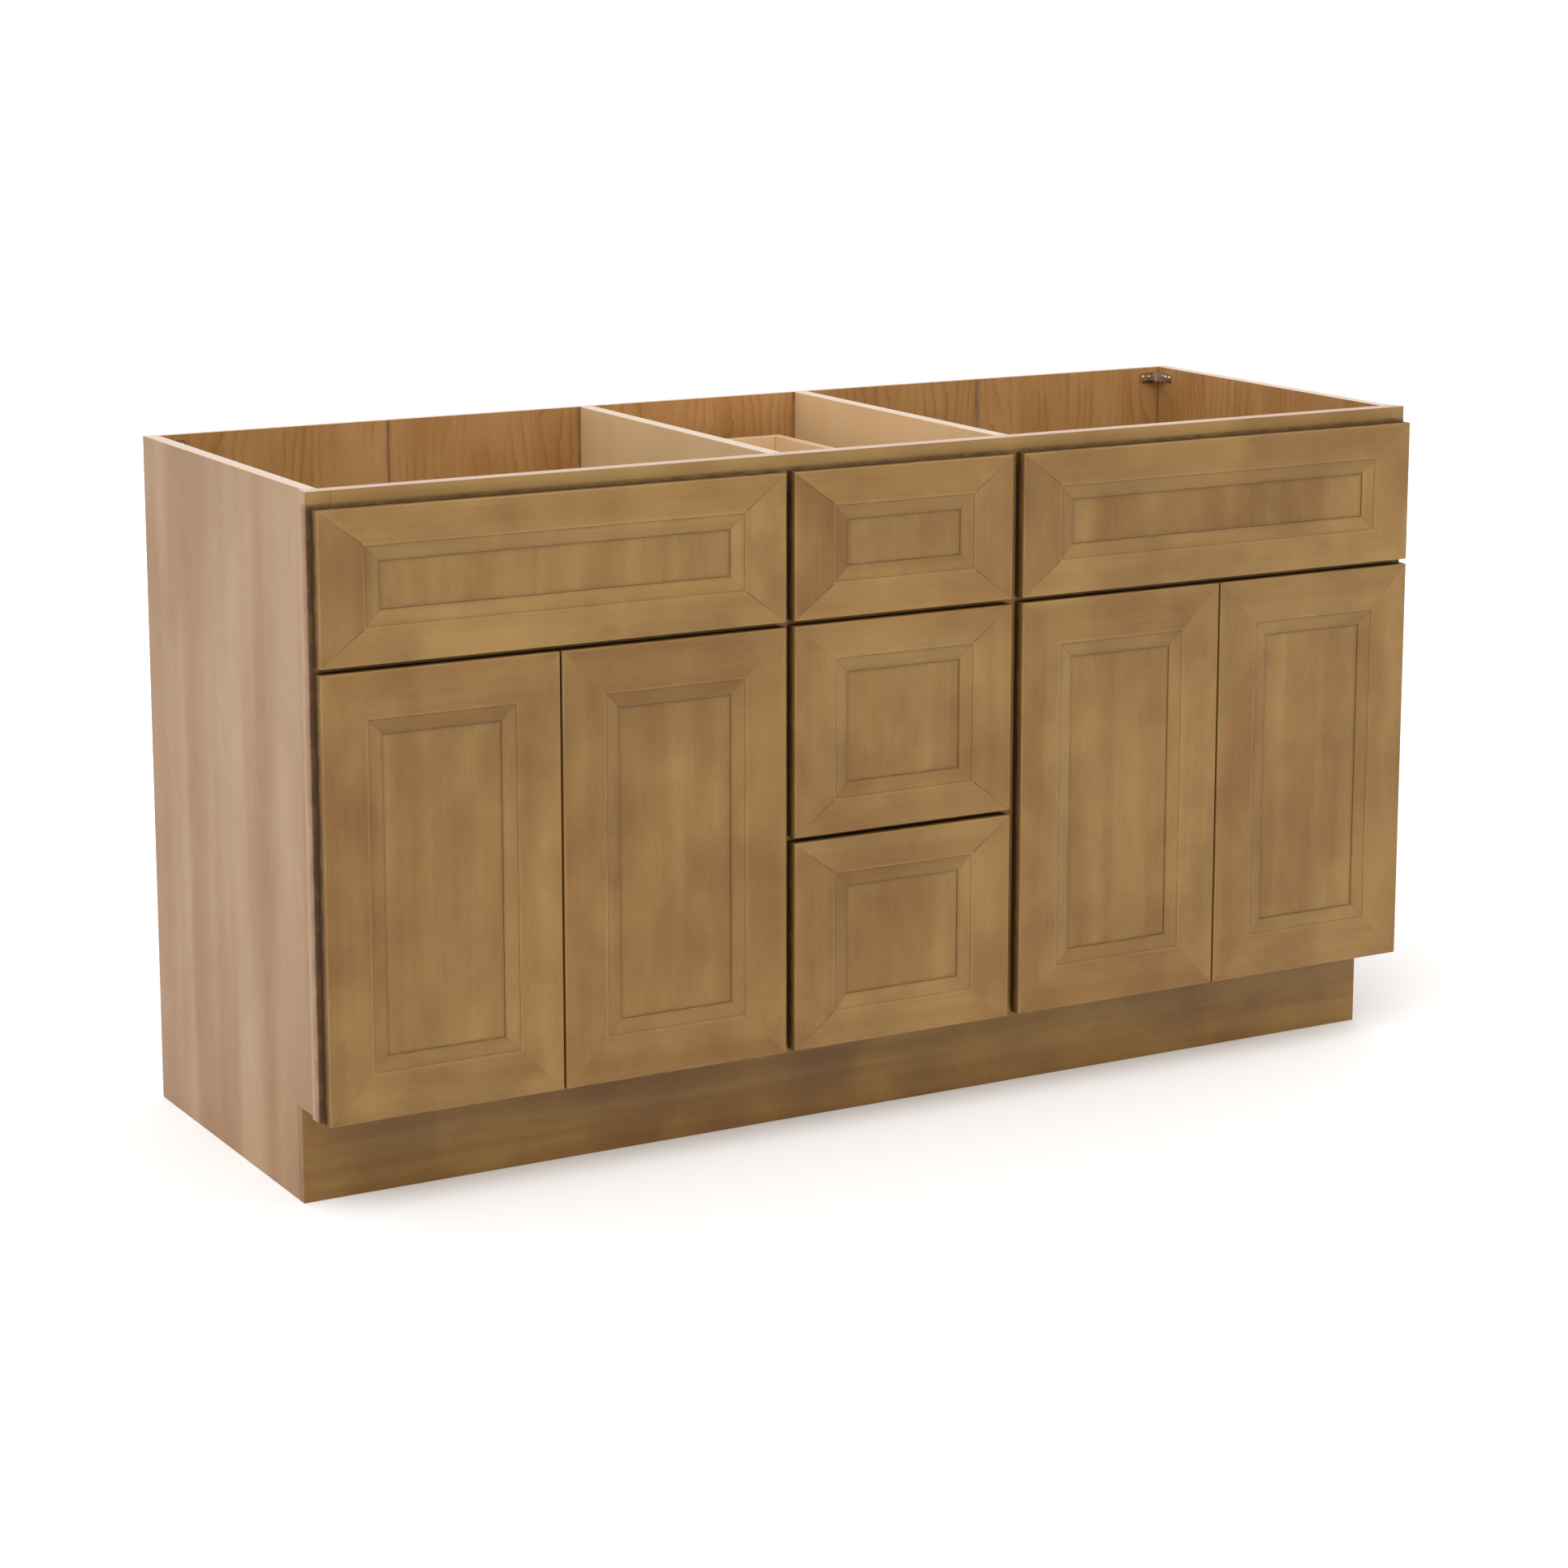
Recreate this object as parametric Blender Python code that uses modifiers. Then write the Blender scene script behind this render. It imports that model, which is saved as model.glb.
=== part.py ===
"""Bathroom vanity base cabinet with two sink bays and a bank of three drawers.

Metres, +Z up.  The origin is on the floor, under the middle of the cabinet, and
the doors face -Y.  Every door is drawn shut and every drawer is drawn closed.
"""

import math

import bmesh
import bpy
from mathutils import Matrix, Vector

# Overall sizes
CABINET_WIDTH = 1.524
CABINET_HEIGHT = 0.8382
BODY_DEPTH = 0.52705  # face frame front to the wall
FRONT_THICKNESS = 0.01905
FRONT_STANDOFF = 0.0020  # rubber bumpers hold the doors off the face frame
GAP = 0.0003  # clearance between two pieces that touch

# Carcass sheets
SHEET = 0.018
BACK_SHEET = 0.0095
SIDE_SETBACK = 0.0046  # the face frame stands past the side panels
BACK_CENTER_HALF = 0.4373  # half the width of the middle back sheet
TOE_HEIGHT = 0.1143
TOE_RECESS = 0.0635
TOE_BOARD = 0.0127

# Face frame
FRAME_THICKNESS = 0.01905
STILE_WIDTH = 0.03175
MULLION_WIDTH = 0.0635
TOP_RAIL = 0.04445
BOTTOM_RAIL = 0.0381
MIDDLE_RAIL = 0.0381

# Doors, drawer fronts and false fronts
TOP_REVEAL = 0.01905
SIDE_REVEAL = 0.0050
ROW_GAP = 0.00635
SHORT_FRONT_HEIGHT = 0.1778
DOOR_HEIGHT = 0.5207
DRAWER_FRONT_WIDTH = 0.3048
BAY_FRONT_WIDTH = 0.5912
PAIR_GAP = 0.0026
DRAWER_FRONT_SHIFT = -0.0020  # the drawer fronts hang a little left of centre
MEMBER_WIDTH = 0.0555
SHORT_RAIL = 0.0430  # top and bottom members of the drawer and false fronts
BEVEL_WIDTH = 0.0182
BEVEL_DROP = 0.0026
QUIRK = 0.0006  # small step where the bevel starts
EASED_EDGE = 0.0015
PANEL_SETBACK = 0.0042  # panel face behind the frame face
PANEL_THICKNESS = 0.00635
GROOVE_DEPTH = 0.0095

# Concealed hinges
CUP_RADIUS = 0.0175
CUP_DEPTH = 0.0112
CUP_SIDES = 24
CUP_SETBACK = 0.0225  # cup centre from the door's edge
HINGE_INSET = 0.0762  # cup centre from the top or bottom of the door
FLANGE_LENGTH = 0.062
FLANGE_WIDTH = 0.020
FLANGE_THICKNESS = 0.0010
ARM_WIDTH = 0.016
ARM_DEPTH = 0.0105
ARM_REACH = 0.024
ARM_CLEARANCE = 0.0020  # leaves room for the mounting plate on the frame edge

# Drawer boxes and slides
BOX_WIDTH = 0.2286
BOX_BACK = 0.4956  # back of the box behind the face frame front
BOX_WALL = 0.0127
BOX_BOTTOM = 0.00635
BOTTOM_RISE = 0.0125
BOTTOM_GROOVE = 0.0060
TOP_BOX_HEIGHT = 0.1111
DEEP_BOX_HEIGHT = 0.1778
TOP_BOX_UNDER_TOP = 0.0522  # top of the top box below the top of the cabinet
DEEP_BOX_RISE = 0.0125  # underside of a deep box above the rail below it
SLIDE_HEIGHT = 0.036
SLIDE_CHANNEL = 0.0100
SLIDE_LIP = 0.0060
SLIDE_SHEET = 0.0012
SLIDE_RISE = 0.020
SLIDE_FRONT = 0.004
SLIDE_BACK = 0.512

# Corner braces
BRACE_LEG = 0.031
BRACE_HEIGHT = 0.0115
BRACE_SHEET = 0.0020
BRACE_BRIDGE = 0.0120
BRIDGE_STEPS = 6
BRACE_UNDER_TOP = 0.0075

# Places worked out from the sizes above
HALF_WIDTH = CABINET_WIDTH / 2
OVERALL_DEPTH = BODY_DEPTH + FRONT_STANDOFF + FRONT_THICKNESS
FACE_Y = FRONT_THICKNESS + FRONT_STANDOFF - OVERALL_DEPTH / 2
FRAME_BACK_Y = FACE_Y + FRAME_THICKNESS
BACK_Y = OVERALL_DEPTH / 2
BACK_FACE_Y = BACK_Y - BACK_SHEET
DOOR_BACK_Y = FACE_Y - FRONT_STANDOFF
DOOR_FACE_Y = DOOR_BACK_Y - FRONT_THICKNESS
SIDE_OUTER = HALF_WIDTH - SIDE_SETBACK
SIDE_INNER = SIDE_OUTER - SHEET
FLOOR_TOP = TOE_HEIGHT + GAP + SHEET
SHORT_TOP_Z = CABINET_HEIGHT - TOP_REVEAL
SHORT_BOTTOM_Z = SHORT_TOP_Z - SHORT_FRONT_HEIGHT
DOOR_TOP_Z = SHORT_BOTTOM_Z - ROW_GAP
DOOR_BOTTOM_Z = DOOR_TOP_Z - DOOR_HEIGHT
DEEP_FRONT_HEIGHT = (DOOR_HEIGHT - ROW_GAP) / 2
DEEP_SPLIT_Z = DOOR_BOTTOM_Z + DEEP_FRONT_HEIGHT + ROW_GAP / 2
MIDDLE_RAIL_Z = DOOR_TOP_Z + ROW_GAP / 2
BAY_FRONT_OUTER = HALF_WIDTH - SIDE_REVEAL
BAY_FRONT_INNER = BAY_FRONT_OUTER - BAY_FRONT_WIDTH
PARTITION_X = (BAY_FRONT_INNER + DRAWER_FRONT_WIDTH / 2) / 2
DOOR_WIDTH = (BAY_FRONT_WIDTH - PAIR_GAP) / 2
CENTER_OPENING_HALF = PARTITION_X - MULLION_WIDTH / 2
BAY_FRAME_INNER = PARTITION_X + MULLION_WIDTH / 2
BAY_FRAME_OUTER = HALF_WIDTH - STILE_WIDTH


def clear_scene():
    for obj in list(bpy.data.objects):
        bpy.data.objects.remove(obj, do_unlink=True)


def make_collection(name):
    collection = bpy.data.collections.new(name)
    bpy.context.scene.collection.children.link(collection)
    return collection


def make_material(name, colour, roughness, metallic=0.0):
    material = bpy.data.materials.new(name)
    material.use_nodes = True
    shader = material.node_tree.nodes["Principled BSDF"]
    shader.inputs["Base Color"].default_value = (*colour, 1.0)
    shader.inputs["Roughness"].default_value = roughness
    shader.inputs["Metallic"].default_value = metallic
    material.diffuse_color = (*colour, 1.0)
    return material


clear_scene()
PARTS = make_collection("bathroom_vanity_cabinet")
CUTTERS = make_collection("cutters")

FRONT_WOOD = make_material("front_wood", (0.36, 0.21, 0.085), 0.42)
SIDE_WOOD = make_material("side_wood", (0.50, 0.32, 0.20), 0.45)
PLYWOOD = make_material("cabinet_plywood", (0.56, 0.36, 0.18), 0.50)
BACK_PLYWOOD = make_material("back_plywood", (0.36, 0.17, 0.06), 0.48)
DRAWER_WOOD = make_material("drawer_wood", (0.56, 0.36, 0.18), 0.50)
TOE_WOOD = make_material("toe_wood", (0.28, 0.15, 0.06), 0.50)
PLATED_STEEL = make_material("plated_steel", (0.55, 0.53, 0.50), 0.30, 1.0)


def add_object(name, mesh, centre, material=None, parent=None, collection=PARTS):
    """Links a mesh at a world place, under an empty where one is given."""
    obj = bpy.data.objects.new(name, mesh)
    collection.objects.link(obj)
    if material is not None:
        mesh.materials.clear()
        mesh.materials.append(material)
    obj.location = Vector(centre)
    if parent is not None:
        obj.parent = parent
        obj.location = Vector(centre) - parent.location
    return obj


def add_axis(name, place):
    """An empty on a joint's axis, which the moving pieces hang from."""
    axis = bpy.data.objects.new(name, None)
    axis.location = Vector(place)
    axis.empty_display_size = 0.05
    PARTS.objects.link(axis)
    return axis


def box_mesh(name, size):
    bm = bmesh.new()
    bmesh.ops.create_cube(bm, size=1.0, matrix=Matrix.Diagonal((*size, 1.0)))
    mesh = bpy.data.meshes.new(name)
    bm.to_mesh(mesh)
    bm.free()
    return mesh


def add_box(name, low, high, material=None, parent=None, collection=PARTS):
    low, high = Vector(low), Vector(high)
    mesh = box_mesh(name, high - low)
    return add_object(name, mesh, (low + high) / 2, material, parent, collection)


def add_disc(name, radius, depth, centre, segments, material=None, parent=None, collection=PARTS):
    """A short cylinder whose axis runs front to back."""
    bm = bmesh.new()
    bmesh.ops.create_cone(
        bm,
        cap_ends=True,
        segments=segments,
        radius1=radius,
        radius2=radius,
        depth=depth,
        matrix=Matrix.Rotation(math.pi / 2, 4, "X"),
    )
    mesh = bpy.data.meshes.new(name)
    bm.to_mesh(mesh)
    bm.free()
    return add_object(name, mesh, centre, material, parent, collection)


def combine(obj, other, operation):
    """Cuts or joins one solid with another that is only a guide."""
    other.hide_render = True
    other.display_type = "WIRE"
    modifier = obj.modifiers.new(other.name, "BOOLEAN")
    modifier.operation = operation
    modifier.solver = "EXACT"
    modifier.object = other


def ring_mesh(name, half_width, half_height, section):
    """A rectangular ring with mitred corners.

    Each point of the section is an inset from the two pairs of sides and a
    height, so the uprights may be wider than the cross members.
    """
    bm = bmesh.new()
    loops = []
    for side_x, side_y in ((1, 1), (-1, 1), (-1, -1), (1, -1)):
        verts = [
            bm.verts.new((side_x * (half_width - inset_x), side_y * (half_height - inset_y), height))
            for inset_x, inset_y, height in section
        ]
        edges = [
            bm.edges.new((verts[index], verts[(index + 1) % len(verts)]))
            for index in range(len(verts))
        ]
        loops.append(edges)
    for index in range(4):
        bmesh.ops.bridge_loops(bm, edges=loops[index] + loops[(index + 1) % 4])
    bmesh.ops.recalc_face_normals(bm, faces=bm.faces)
    mesh = bpy.data.meshes.new(name)
    bm.to_mesh(mesh)
    bm.free()
    return mesh


def bent_sheet(name, path, run, thickness, material, centre=(0, 0, 0), parent=None):
    """A strip of sheet metal: an open path pushed along a straight run, then thickened."""
    bm = bmesh.new()
    verts = [bm.verts.new(point) for point in path]
    edges = [bm.edges.new(pair) for pair in zip(verts, verts[1:])]
    pushed = bmesh.ops.extrude_edge_only(bm, edges=edges)["geom"]
    moved = [item for item in pushed if isinstance(item, bmesh.types.BMVert)]
    bmesh.ops.translate(bm, vec=Vector(run), verts=moved)
    mesh = bpy.data.meshes.new(name)
    bm.to_mesh(mesh)
    bm.free()
    obj = add_object(name, mesh, centre, material, parent)
    shell = obj.modifiers.new("thickness", "SOLIDIFY")
    shell.thickness = thickness
    shell.offset = 0.0
    shell.use_even_offset = True
    return obj


def add_side_panel(name, side):
    """A full height end panel with the toe notch cut from its lower front corner."""
    inner, outer = sorted((side * SIDE_INNER, side * SIDE_OUTER))
    panel = add_box(
        name,
        (inner, FRAME_BACK_Y + GAP, 0.0),
        (outer, BACK_Y, CABINET_HEIGHT),
        SIDE_WOOD,
    )
    notch_back = FACE_Y + TOE_RECESS + TOE_BOARD + GAP
    cutter = add_box(
        name + "_toe_notch",
        (inner - SHEET, FACE_Y, -SHEET),
        (outer + SHEET, notch_back, TOE_HEIGHT),
        collection=CUTTERS,
    )
    combine(panel, cutter, "DIFFERENCE")


def add_partition(name, side):
    centre = side * PARTITION_X
    add_box(
        name,
        (centre - SHEET / 2, FRAME_BACK_Y + GAP, FLOOR_TOP + GAP),
        (centre + SHEET / 2, BACK_FACE_Y - GAP, CABINET_HEIGHT),
        PLYWOOD,
    )


def add_back_panels():
    for name, low, high in (
        ("back_panel_left", -SIDE_INNER + GAP, -BACK_CENTER_HALF - GAP),
        ("back_panel_center", -BACK_CENTER_HALF + GAP, BACK_CENTER_HALF - GAP),
        ("back_panel_right", BACK_CENTER_HALF + GAP, SIDE_INNER - GAP),
    ):
        add_box(name, (low, BACK_FACE_Y, 0.0), (high, BACK_Y, CABINET_HEIGHT), BACK_PLYWOOD)


def add_floor_and_toe():
    add_box(
        "bottom_panel",
        (-SIDE_INNER + GAP, FRAME_BACK_Y + GAP, TOE_HEIGHT + GAP),
        (SIDE_INNER - GAP, BACK_FACE_Y - GAP, FLOOR_TOP),
        PLYWOOD,
    )
    toe_y = FACE_Y + TOE_RECESS
    add_box(
        "toe_kick_board",
        (-SIDE_OUTER, toe_y, 0.0),
        (SIDE_OUTER, toe_y + TOE_BOARD, TOE_HEIGHT - GAP),
        TOE_WOOD,
    )


def add_frame_member(name, low_x, high_x, low_z, high_z):
    add_box(name, (low_x, FACE_Y, low_z), (high_x, FRAME_BACK_Y, high_z), FRONT_WOOD)


def add_face_frame():
    """Stiles run the full height, and everything else is fitted between them."""
    rail_bottom = CABINET_HEIGHT - TOP_RAIL
    sill_top = TOE_HEIGHT + BOTTOM_RAIL
    add_frame_member(
        "frame_stile_left", -HALF_WIDTH, -BAY_FRAME_OUTER, TOE_HEIGHT, CABINET_HEIGHT
    )
    add_frame_member(
        "frame_stile_right", BAY_FRAME_OUTER, HALF_WIDTH, TOE_HEIGHT, CABINET_HEIGHT
    )
    inner = BAY_FRAME_OUTER - GAP
    add_frame_member("frame_top_rail", -inner, inner, rail_bottom, CABINET_HEIGHT)
    add_frame_member("frame_bottom_rail", -inner, inner, TOE_HEIGHT, sill_top)
    for name, side in (("left", -1), ("right", 1)):
        low, high = sorted((side * CENTER_OPENING_HALF, side * BAY_FRAME_INNER))
        add_frame_member(
            "frame_mullion_" + name, low, high, sill_top + GAP, rail_bottom - GAP
        )
        low, high = sorted((side * BAY_FRAME_INNER, side * BAY_FRAME_OUTER))
        add_frame_member(
            "frame_middle_rail_" + name,
            low + GAP,
            high - GAP,
            MIDDLE_RAIL_Z - MIDDLE_RAIL / 2,
            MIDDLE_RAIL_Z + MIDDLE_RAIL / 2,
        )
    for name, level in (("upper", MIDDLE_RAIL_Z), ("lower", DEEP_SPLIT_Z)):
        add_frame_member(
            "drawer_rail_" + name,
            -CENTER_OPENING_HALF + GAP,
            CENTER_OPENING_HALF - GAP,
            level - MIDDLE_RAIL / 2,
            level + MIDDLE_RAIL / 2,
        )


def front_section(upright, cross):
    """The moulded section of a front's frame, from its back outer corner round to its back inner one."""
    face = FRONT_THICKNESS
    panel_face = face - PANEL_SETBACK
    panel_back = panel_face - PANEL_THICKNESS
    sight = BEVEL_WIDTH
    groove = BEVEL_WIDTH - GROOVE_DEPTH
    corners = (
        (0.0, 0.0, 0.0),
        (0.0, 0.0, face - EASED_EDGE),
        (0.0, EASED_EDGE, face),
        (1.0, 0.0, face),
        (1.0, 0.0, face - QUIRK),
        (1.0, sight, face - QUIRK - BEVEL_DROP),
        (1.0, sight, panel_face + GAP),
        (1.0, groove, panel_face + GAP),
        (1.0, groove, panel_back - GAP),
        (1.0, sight, panel_back - GAP),
        (1.0, sight, 0.0),
    )
    return [(share * upright + more, share * cross + more, z) for share, more, z in corners]


def add_front(name, low_x, high_x, low_z, high_z, upright, cross, parent=None):
    """A frame with mitred corners and bevelled inner edges round a flat panel."""
    half_width = (high_x - low_x) / 2
    half_height = (high_z - low_z) / 2
    centre_x = (low_x + high_x) / 2
    centre_z = (low_z + high_z) / 2
    mesh = ring_mesh(name + "_frame", half_width, half_height, front_section(upright, cross))
    frame = add_object(
        name + "_frame", mesh, (centre_x, DOOR_BACK_Y, centre_z), FRONT_WOOD, parent
    )
    frame.rotation_euler = (math.pi / 2, 0.0, 0.0)
    reach = GROOVE_DEPTH - BEVEL_WIDTH - GAP
    panel_half_x = half_width - upright + reach
    panel_half_z = half_height - cross + reach
    panel_y = DOOR_FACE_Y + PANEL_SETBACK
    add_box(
        name + "_panel",
        (centre_x - panel_half_x, panel_y, centre_z - panel_half_z),
        (centre_x + panel_half_x, panel_y + PANEL_THICKNESS, centre_z + panel_half_z),
        FRONT_WOOD,
        parent,
    )
    return frame


def add_hinge(name, door_frame, edge_x, inward, frame_edge_x, level, parent):
    """A cup let into the door's back, its flange, and the arm that reaches past the frame edge."""
    cup_x = edge_x + inward * CUP_SETBACK
    flange_y = DOOR_BACK_Y + GAP
    cup_top = flange_y + FLANGE_THICKNESS / 2
    bore_depth = CUP_DEPTH + GAP
    bore = add_disc(
        name + "_bore",
        CUP_RADIUS + GAP,
        2 * bore_depth,
        (cup_x, DOOR_BACK_Y, level),
        CUP_SIDES,
        collection=CUTTERS,
    )
    combine(door_frame, bore, "DIFFERENCE")
    cup_bottom = DOOR_BACK_Y - CUP_DEPTH
    hinge = add_disc(
        name,
        CUP_RADIUS,
        cup_top - cup_bottom,
        (cup_x, (cup_top + cup_bottom) / 2, level),
        CUP_SIDES,
        PLATED_STEEL,
        parent,
    )
    flange = add_box(
        name + "_flange",
        (cup_x - FLANGE_WIDTH / 2, flange_y, level - FLANGE_LENGTH / 2),
        (cup_x + FLANGE_WIDTH / 2, flange_y + FLANGE_THICKNESS, level + FLANGE_LENGTH / 2),
        collection=CUTTERS,
    )
    combine(hinge, flange, "UNION")
    near = frame_edge_x + inward * ARM_CLEARANCE
    low_x, high_x = sorted((near, near + inward * ARM_DEPTH))
    arm = add_box(
        name + "_arm",
        (low_x, flange_y + FLANGE_THICKNESS / 4, level - ARM_WIDTH / 2),
        (high_x, FACE_Y + ARM_REACH, level + ARM_WIDTH / 2),
        collection=CUTTERS,
    )
    combine(hinge, arm, "UNION")


def add_door(name, low_x, high_x, hinge_side, frame_edge_x):
    """A door that turns about the upright edge of its own face, on the hinge side."""
    edge_x = low_x if hinge_side < 0 else high_x
    axis = add_axis(name + "_axis", (edge_x, DOOR_FACE_Y, DOOR_BOTTOM_Z))
    frame = add_front(
        name, low_x, high_x, DOOR_BOTTOM_Z, DOOR_TOP_Z, MEMBER_WIDTH, MEMBER_WIDTH, axis
    )
    for place, level in (
        ("upper", DOOR_TOP_Z - HINGE_INSET),
        ("lower", DOOR_BOTTOM_Z + HINGE_INSET),
    ):
        add_hinge(
            name + "_hinge_" + place, frame, edge_x, -hinge_side, frame_edge_x, level, axis
        )


def add_doors():
    outer, inner = BAY_FRONT_OUTER, BAY_FRONT_INNER
    add_door("door_far_left", -outer, -outer + DOOR_WIDTH, -1, -BAY_FRAME_OUTER)
    add_door("door_mid_left", -inner - DOOR_WIDTH, -inner, 1, -BAY_FRAME_INNER)
    add_door("door_mid_right", inner, inner + DOOR_WIDTH, -1, BAY_FRAME_INNER)
    add_door("door_far_right", outer - DOOR_WIDTH, outer, 1, BAY_FRAME_OUTER)


def add_false_fronts():
    for name, side in (("false_front_left", -1), ("false_front_right", 1)):
        low, high = sorted((side * BAY_FRONT_INNER, side * BAY_FRONT_OUTER))
        add_front(name, low, high, SHORT_BOTTOM_Z, SHORT_TOP_Z, MEMBER_WIDTH, SHORT_RAIL)


def box_section(height):
    """The wall of a drawer box, with the groove that holds the bottom."""
    groove = BOX_WALL - BOTTOM_GROOVE
    low = BOTTOM_RISE - GAP
    high = BOTTOM_RISE + BOX_BOTTOM + GAP
    corners = (
        (0.0, 0.0),
        (0.0, height),
        (BOX_WALL, height),
        (BOX_WALL, high),
        (groove, high),
        (groove, low),
        (BOX_WALL, low),
        (BOX_WALL, 0.0),
    )
    return [(inset, inset, z) for inset, z in corners]


def add_drawer(name, low_z, high_z, box_z, box_height):
    """A front screwed to the front wall of a four-sided box with a loose bottom."""
    axis = add_axis(name + "_axis", (0.0, DOOR_FACE_Y, box_z))
    half = DRAWER_FRONT_WIDTH / 2
    low_x, high_x = DRAWER_FRONT_SHIFT - half, DRAWER_FRONT_SHIFT + half
    add_front(name + "_front", low_x, high_x, low_z, high_z, MEMBER_WIDTH, SHORT_RAIL, axis)
    front_y = DOOR_BACK_Y + GAP
    back_y = FACE_Y + BOX_BACK
    half_depth = (back_y - front_y) / 2
    centre_y = (back_y + front_y) / 2
    mesh = ring_mesh(name + "_box", BOX_WIDTH / 2, half_depth, box_section(box_height))
    add_object(name + "_box", mesh, (0.0, centre_y, box_z), DRAWER_WOOD, axis)
    reach = BOX_WALL - BOTTOM_GROOVE + GAP
    bottom_half_x = BOX_WIDTH / 2 - reach
    bottom_half_y = half_depth - reach
    bottom_z = box_z + BOTTOM_RISE
    add_box(
        name + "_bottom",
        (-bottom_half_x, centre_y - bottom_half_y, bottom_z),
        (bottom_half_x, centre_y + bottom_half_y, bottom_z + BOX_BOTTOM),
        DRAWER_WOOD,
        axis,
    )


def add_slides(name, box_z):
    """The two fixed channels that a drawer box runs in."""
    for place, side in (("left", -1), ("right", 1)):
        web = side * (CENTER_OPENING_HALF - GAP - SLIDE_SHEET / 2)
        lip = web - side * SLIDE_CHANNEL
        low = box_z + SLIDE_RISE
        high = low + SLIDE_HEIGHT
        start = FACE_Y + SLIDE_FRONT
        path = [
            (lip, start, low + SLIDE_LIP),
            (lip, start, low),
            (web, start, low),
            (web, start, high),
            (lip, start, high),
            (lip, start, high - SLIDE_LIP),
        ]
        run = (0.0, SLIDE_BACK - SLIDE_FRONT, 0.0)
        bent_sheet(f"{name}_slide_{place}", path, run, SLIDE_SHEET, PLATED_STEEL)


def add_drawers():
    top_box_z = CABINET_HEIGHT - TOP_BOX_UNDER_TOP - TOP_BOX_HEIGHT
    middle_box_z = DEEP_SPLIT_Z + MIDDLE_RAIL / 2 + DEEP_BOX_RISE
    bottom_box_z = TOE_HEIGHT + BOTTOM_RAIL + DEEP_BOX_RISE
    middle_low_z = DOOR_TOP_Z - DEEP_FRONT_HEIGHT
    bottom_high_z = DOOR_BOTTOM_Z + DEEP_FRONT_HEIGHT
    for name, low_z, high_z, box_z, box_height in (
        ("drawer_top", SHORT_BOTTOM_Z, SHORT_TOP_Z, top_box_z, TOP_BOX_HEIGHT),
        ("drawer_middle", middle_low_z, DOOR_TOP_Z, middle_box_z, DEEP_BOX_HEIGHT),
        ("drawer_bottom", DOOR_BOTTOM_Z, bottom_high_z, bottom_box_z, DEEP_BOX_HEIGHT),
    ):
        add_drawer(name, low_z, high_z, box_z, box_height)
        add_slides(name, box_z)


def brace_path(side):
    """The plan of a brace: two legs along the walls and a rounded bridge across the corner."""
    offset = BRACE_SHEET / 2 + GAP
    corner = Vector((side * (SIDE_INNER - offset), BACK_FACE_Y - offset, 0.0))
    along_back = Vector((-side, 0.0, 0.0))
    along_side = Vector((0.0, -1.0, 0.0))
    points = [corner + along_back * BRACE_LEG]
    for step in range(BRIDGE_STEPS + 1):
        angle = math.pi / 2 * step / BRIDGE_STEPS
        bridge = along_back * math.cos(angle) + along_side * math.sin(angle)
        points.append(corner + bridge * BRACE_BRIDGE)
    points.append(corner + along_side * BRACE_LEG)
    return points


def add_braces():
    level = CABINET_HEIGHT - BRACE_UNDER_TOP - BRACE_HEIGHT
    for name, side in (("corner_brace_left", -1), ("corner_brace_right", 1)):
        bent_sheet(
            name,
            brace_path(side),
            (0.0, 0.0, BRACE_HEIGHT),
            BRACE_SHEET,
            PLATED_STEEL,
            centre=(0.0, 0.0, level),
        )


add_side_panel("left_side_panel", -1)
add_side_panel("right_side_panel", 1)
add_partition("left_partition", -1)
add_partition("right_partition", 1)
add_back_panels()
add_floor_and_toe()
add_face_frame()
add_doors()
add_false_fronts()
add_drawers()
add_braces()
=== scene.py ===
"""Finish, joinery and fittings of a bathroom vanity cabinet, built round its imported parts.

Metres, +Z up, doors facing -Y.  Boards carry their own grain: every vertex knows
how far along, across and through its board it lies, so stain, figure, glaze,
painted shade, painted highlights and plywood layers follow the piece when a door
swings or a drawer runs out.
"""

import math
import random

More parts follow.
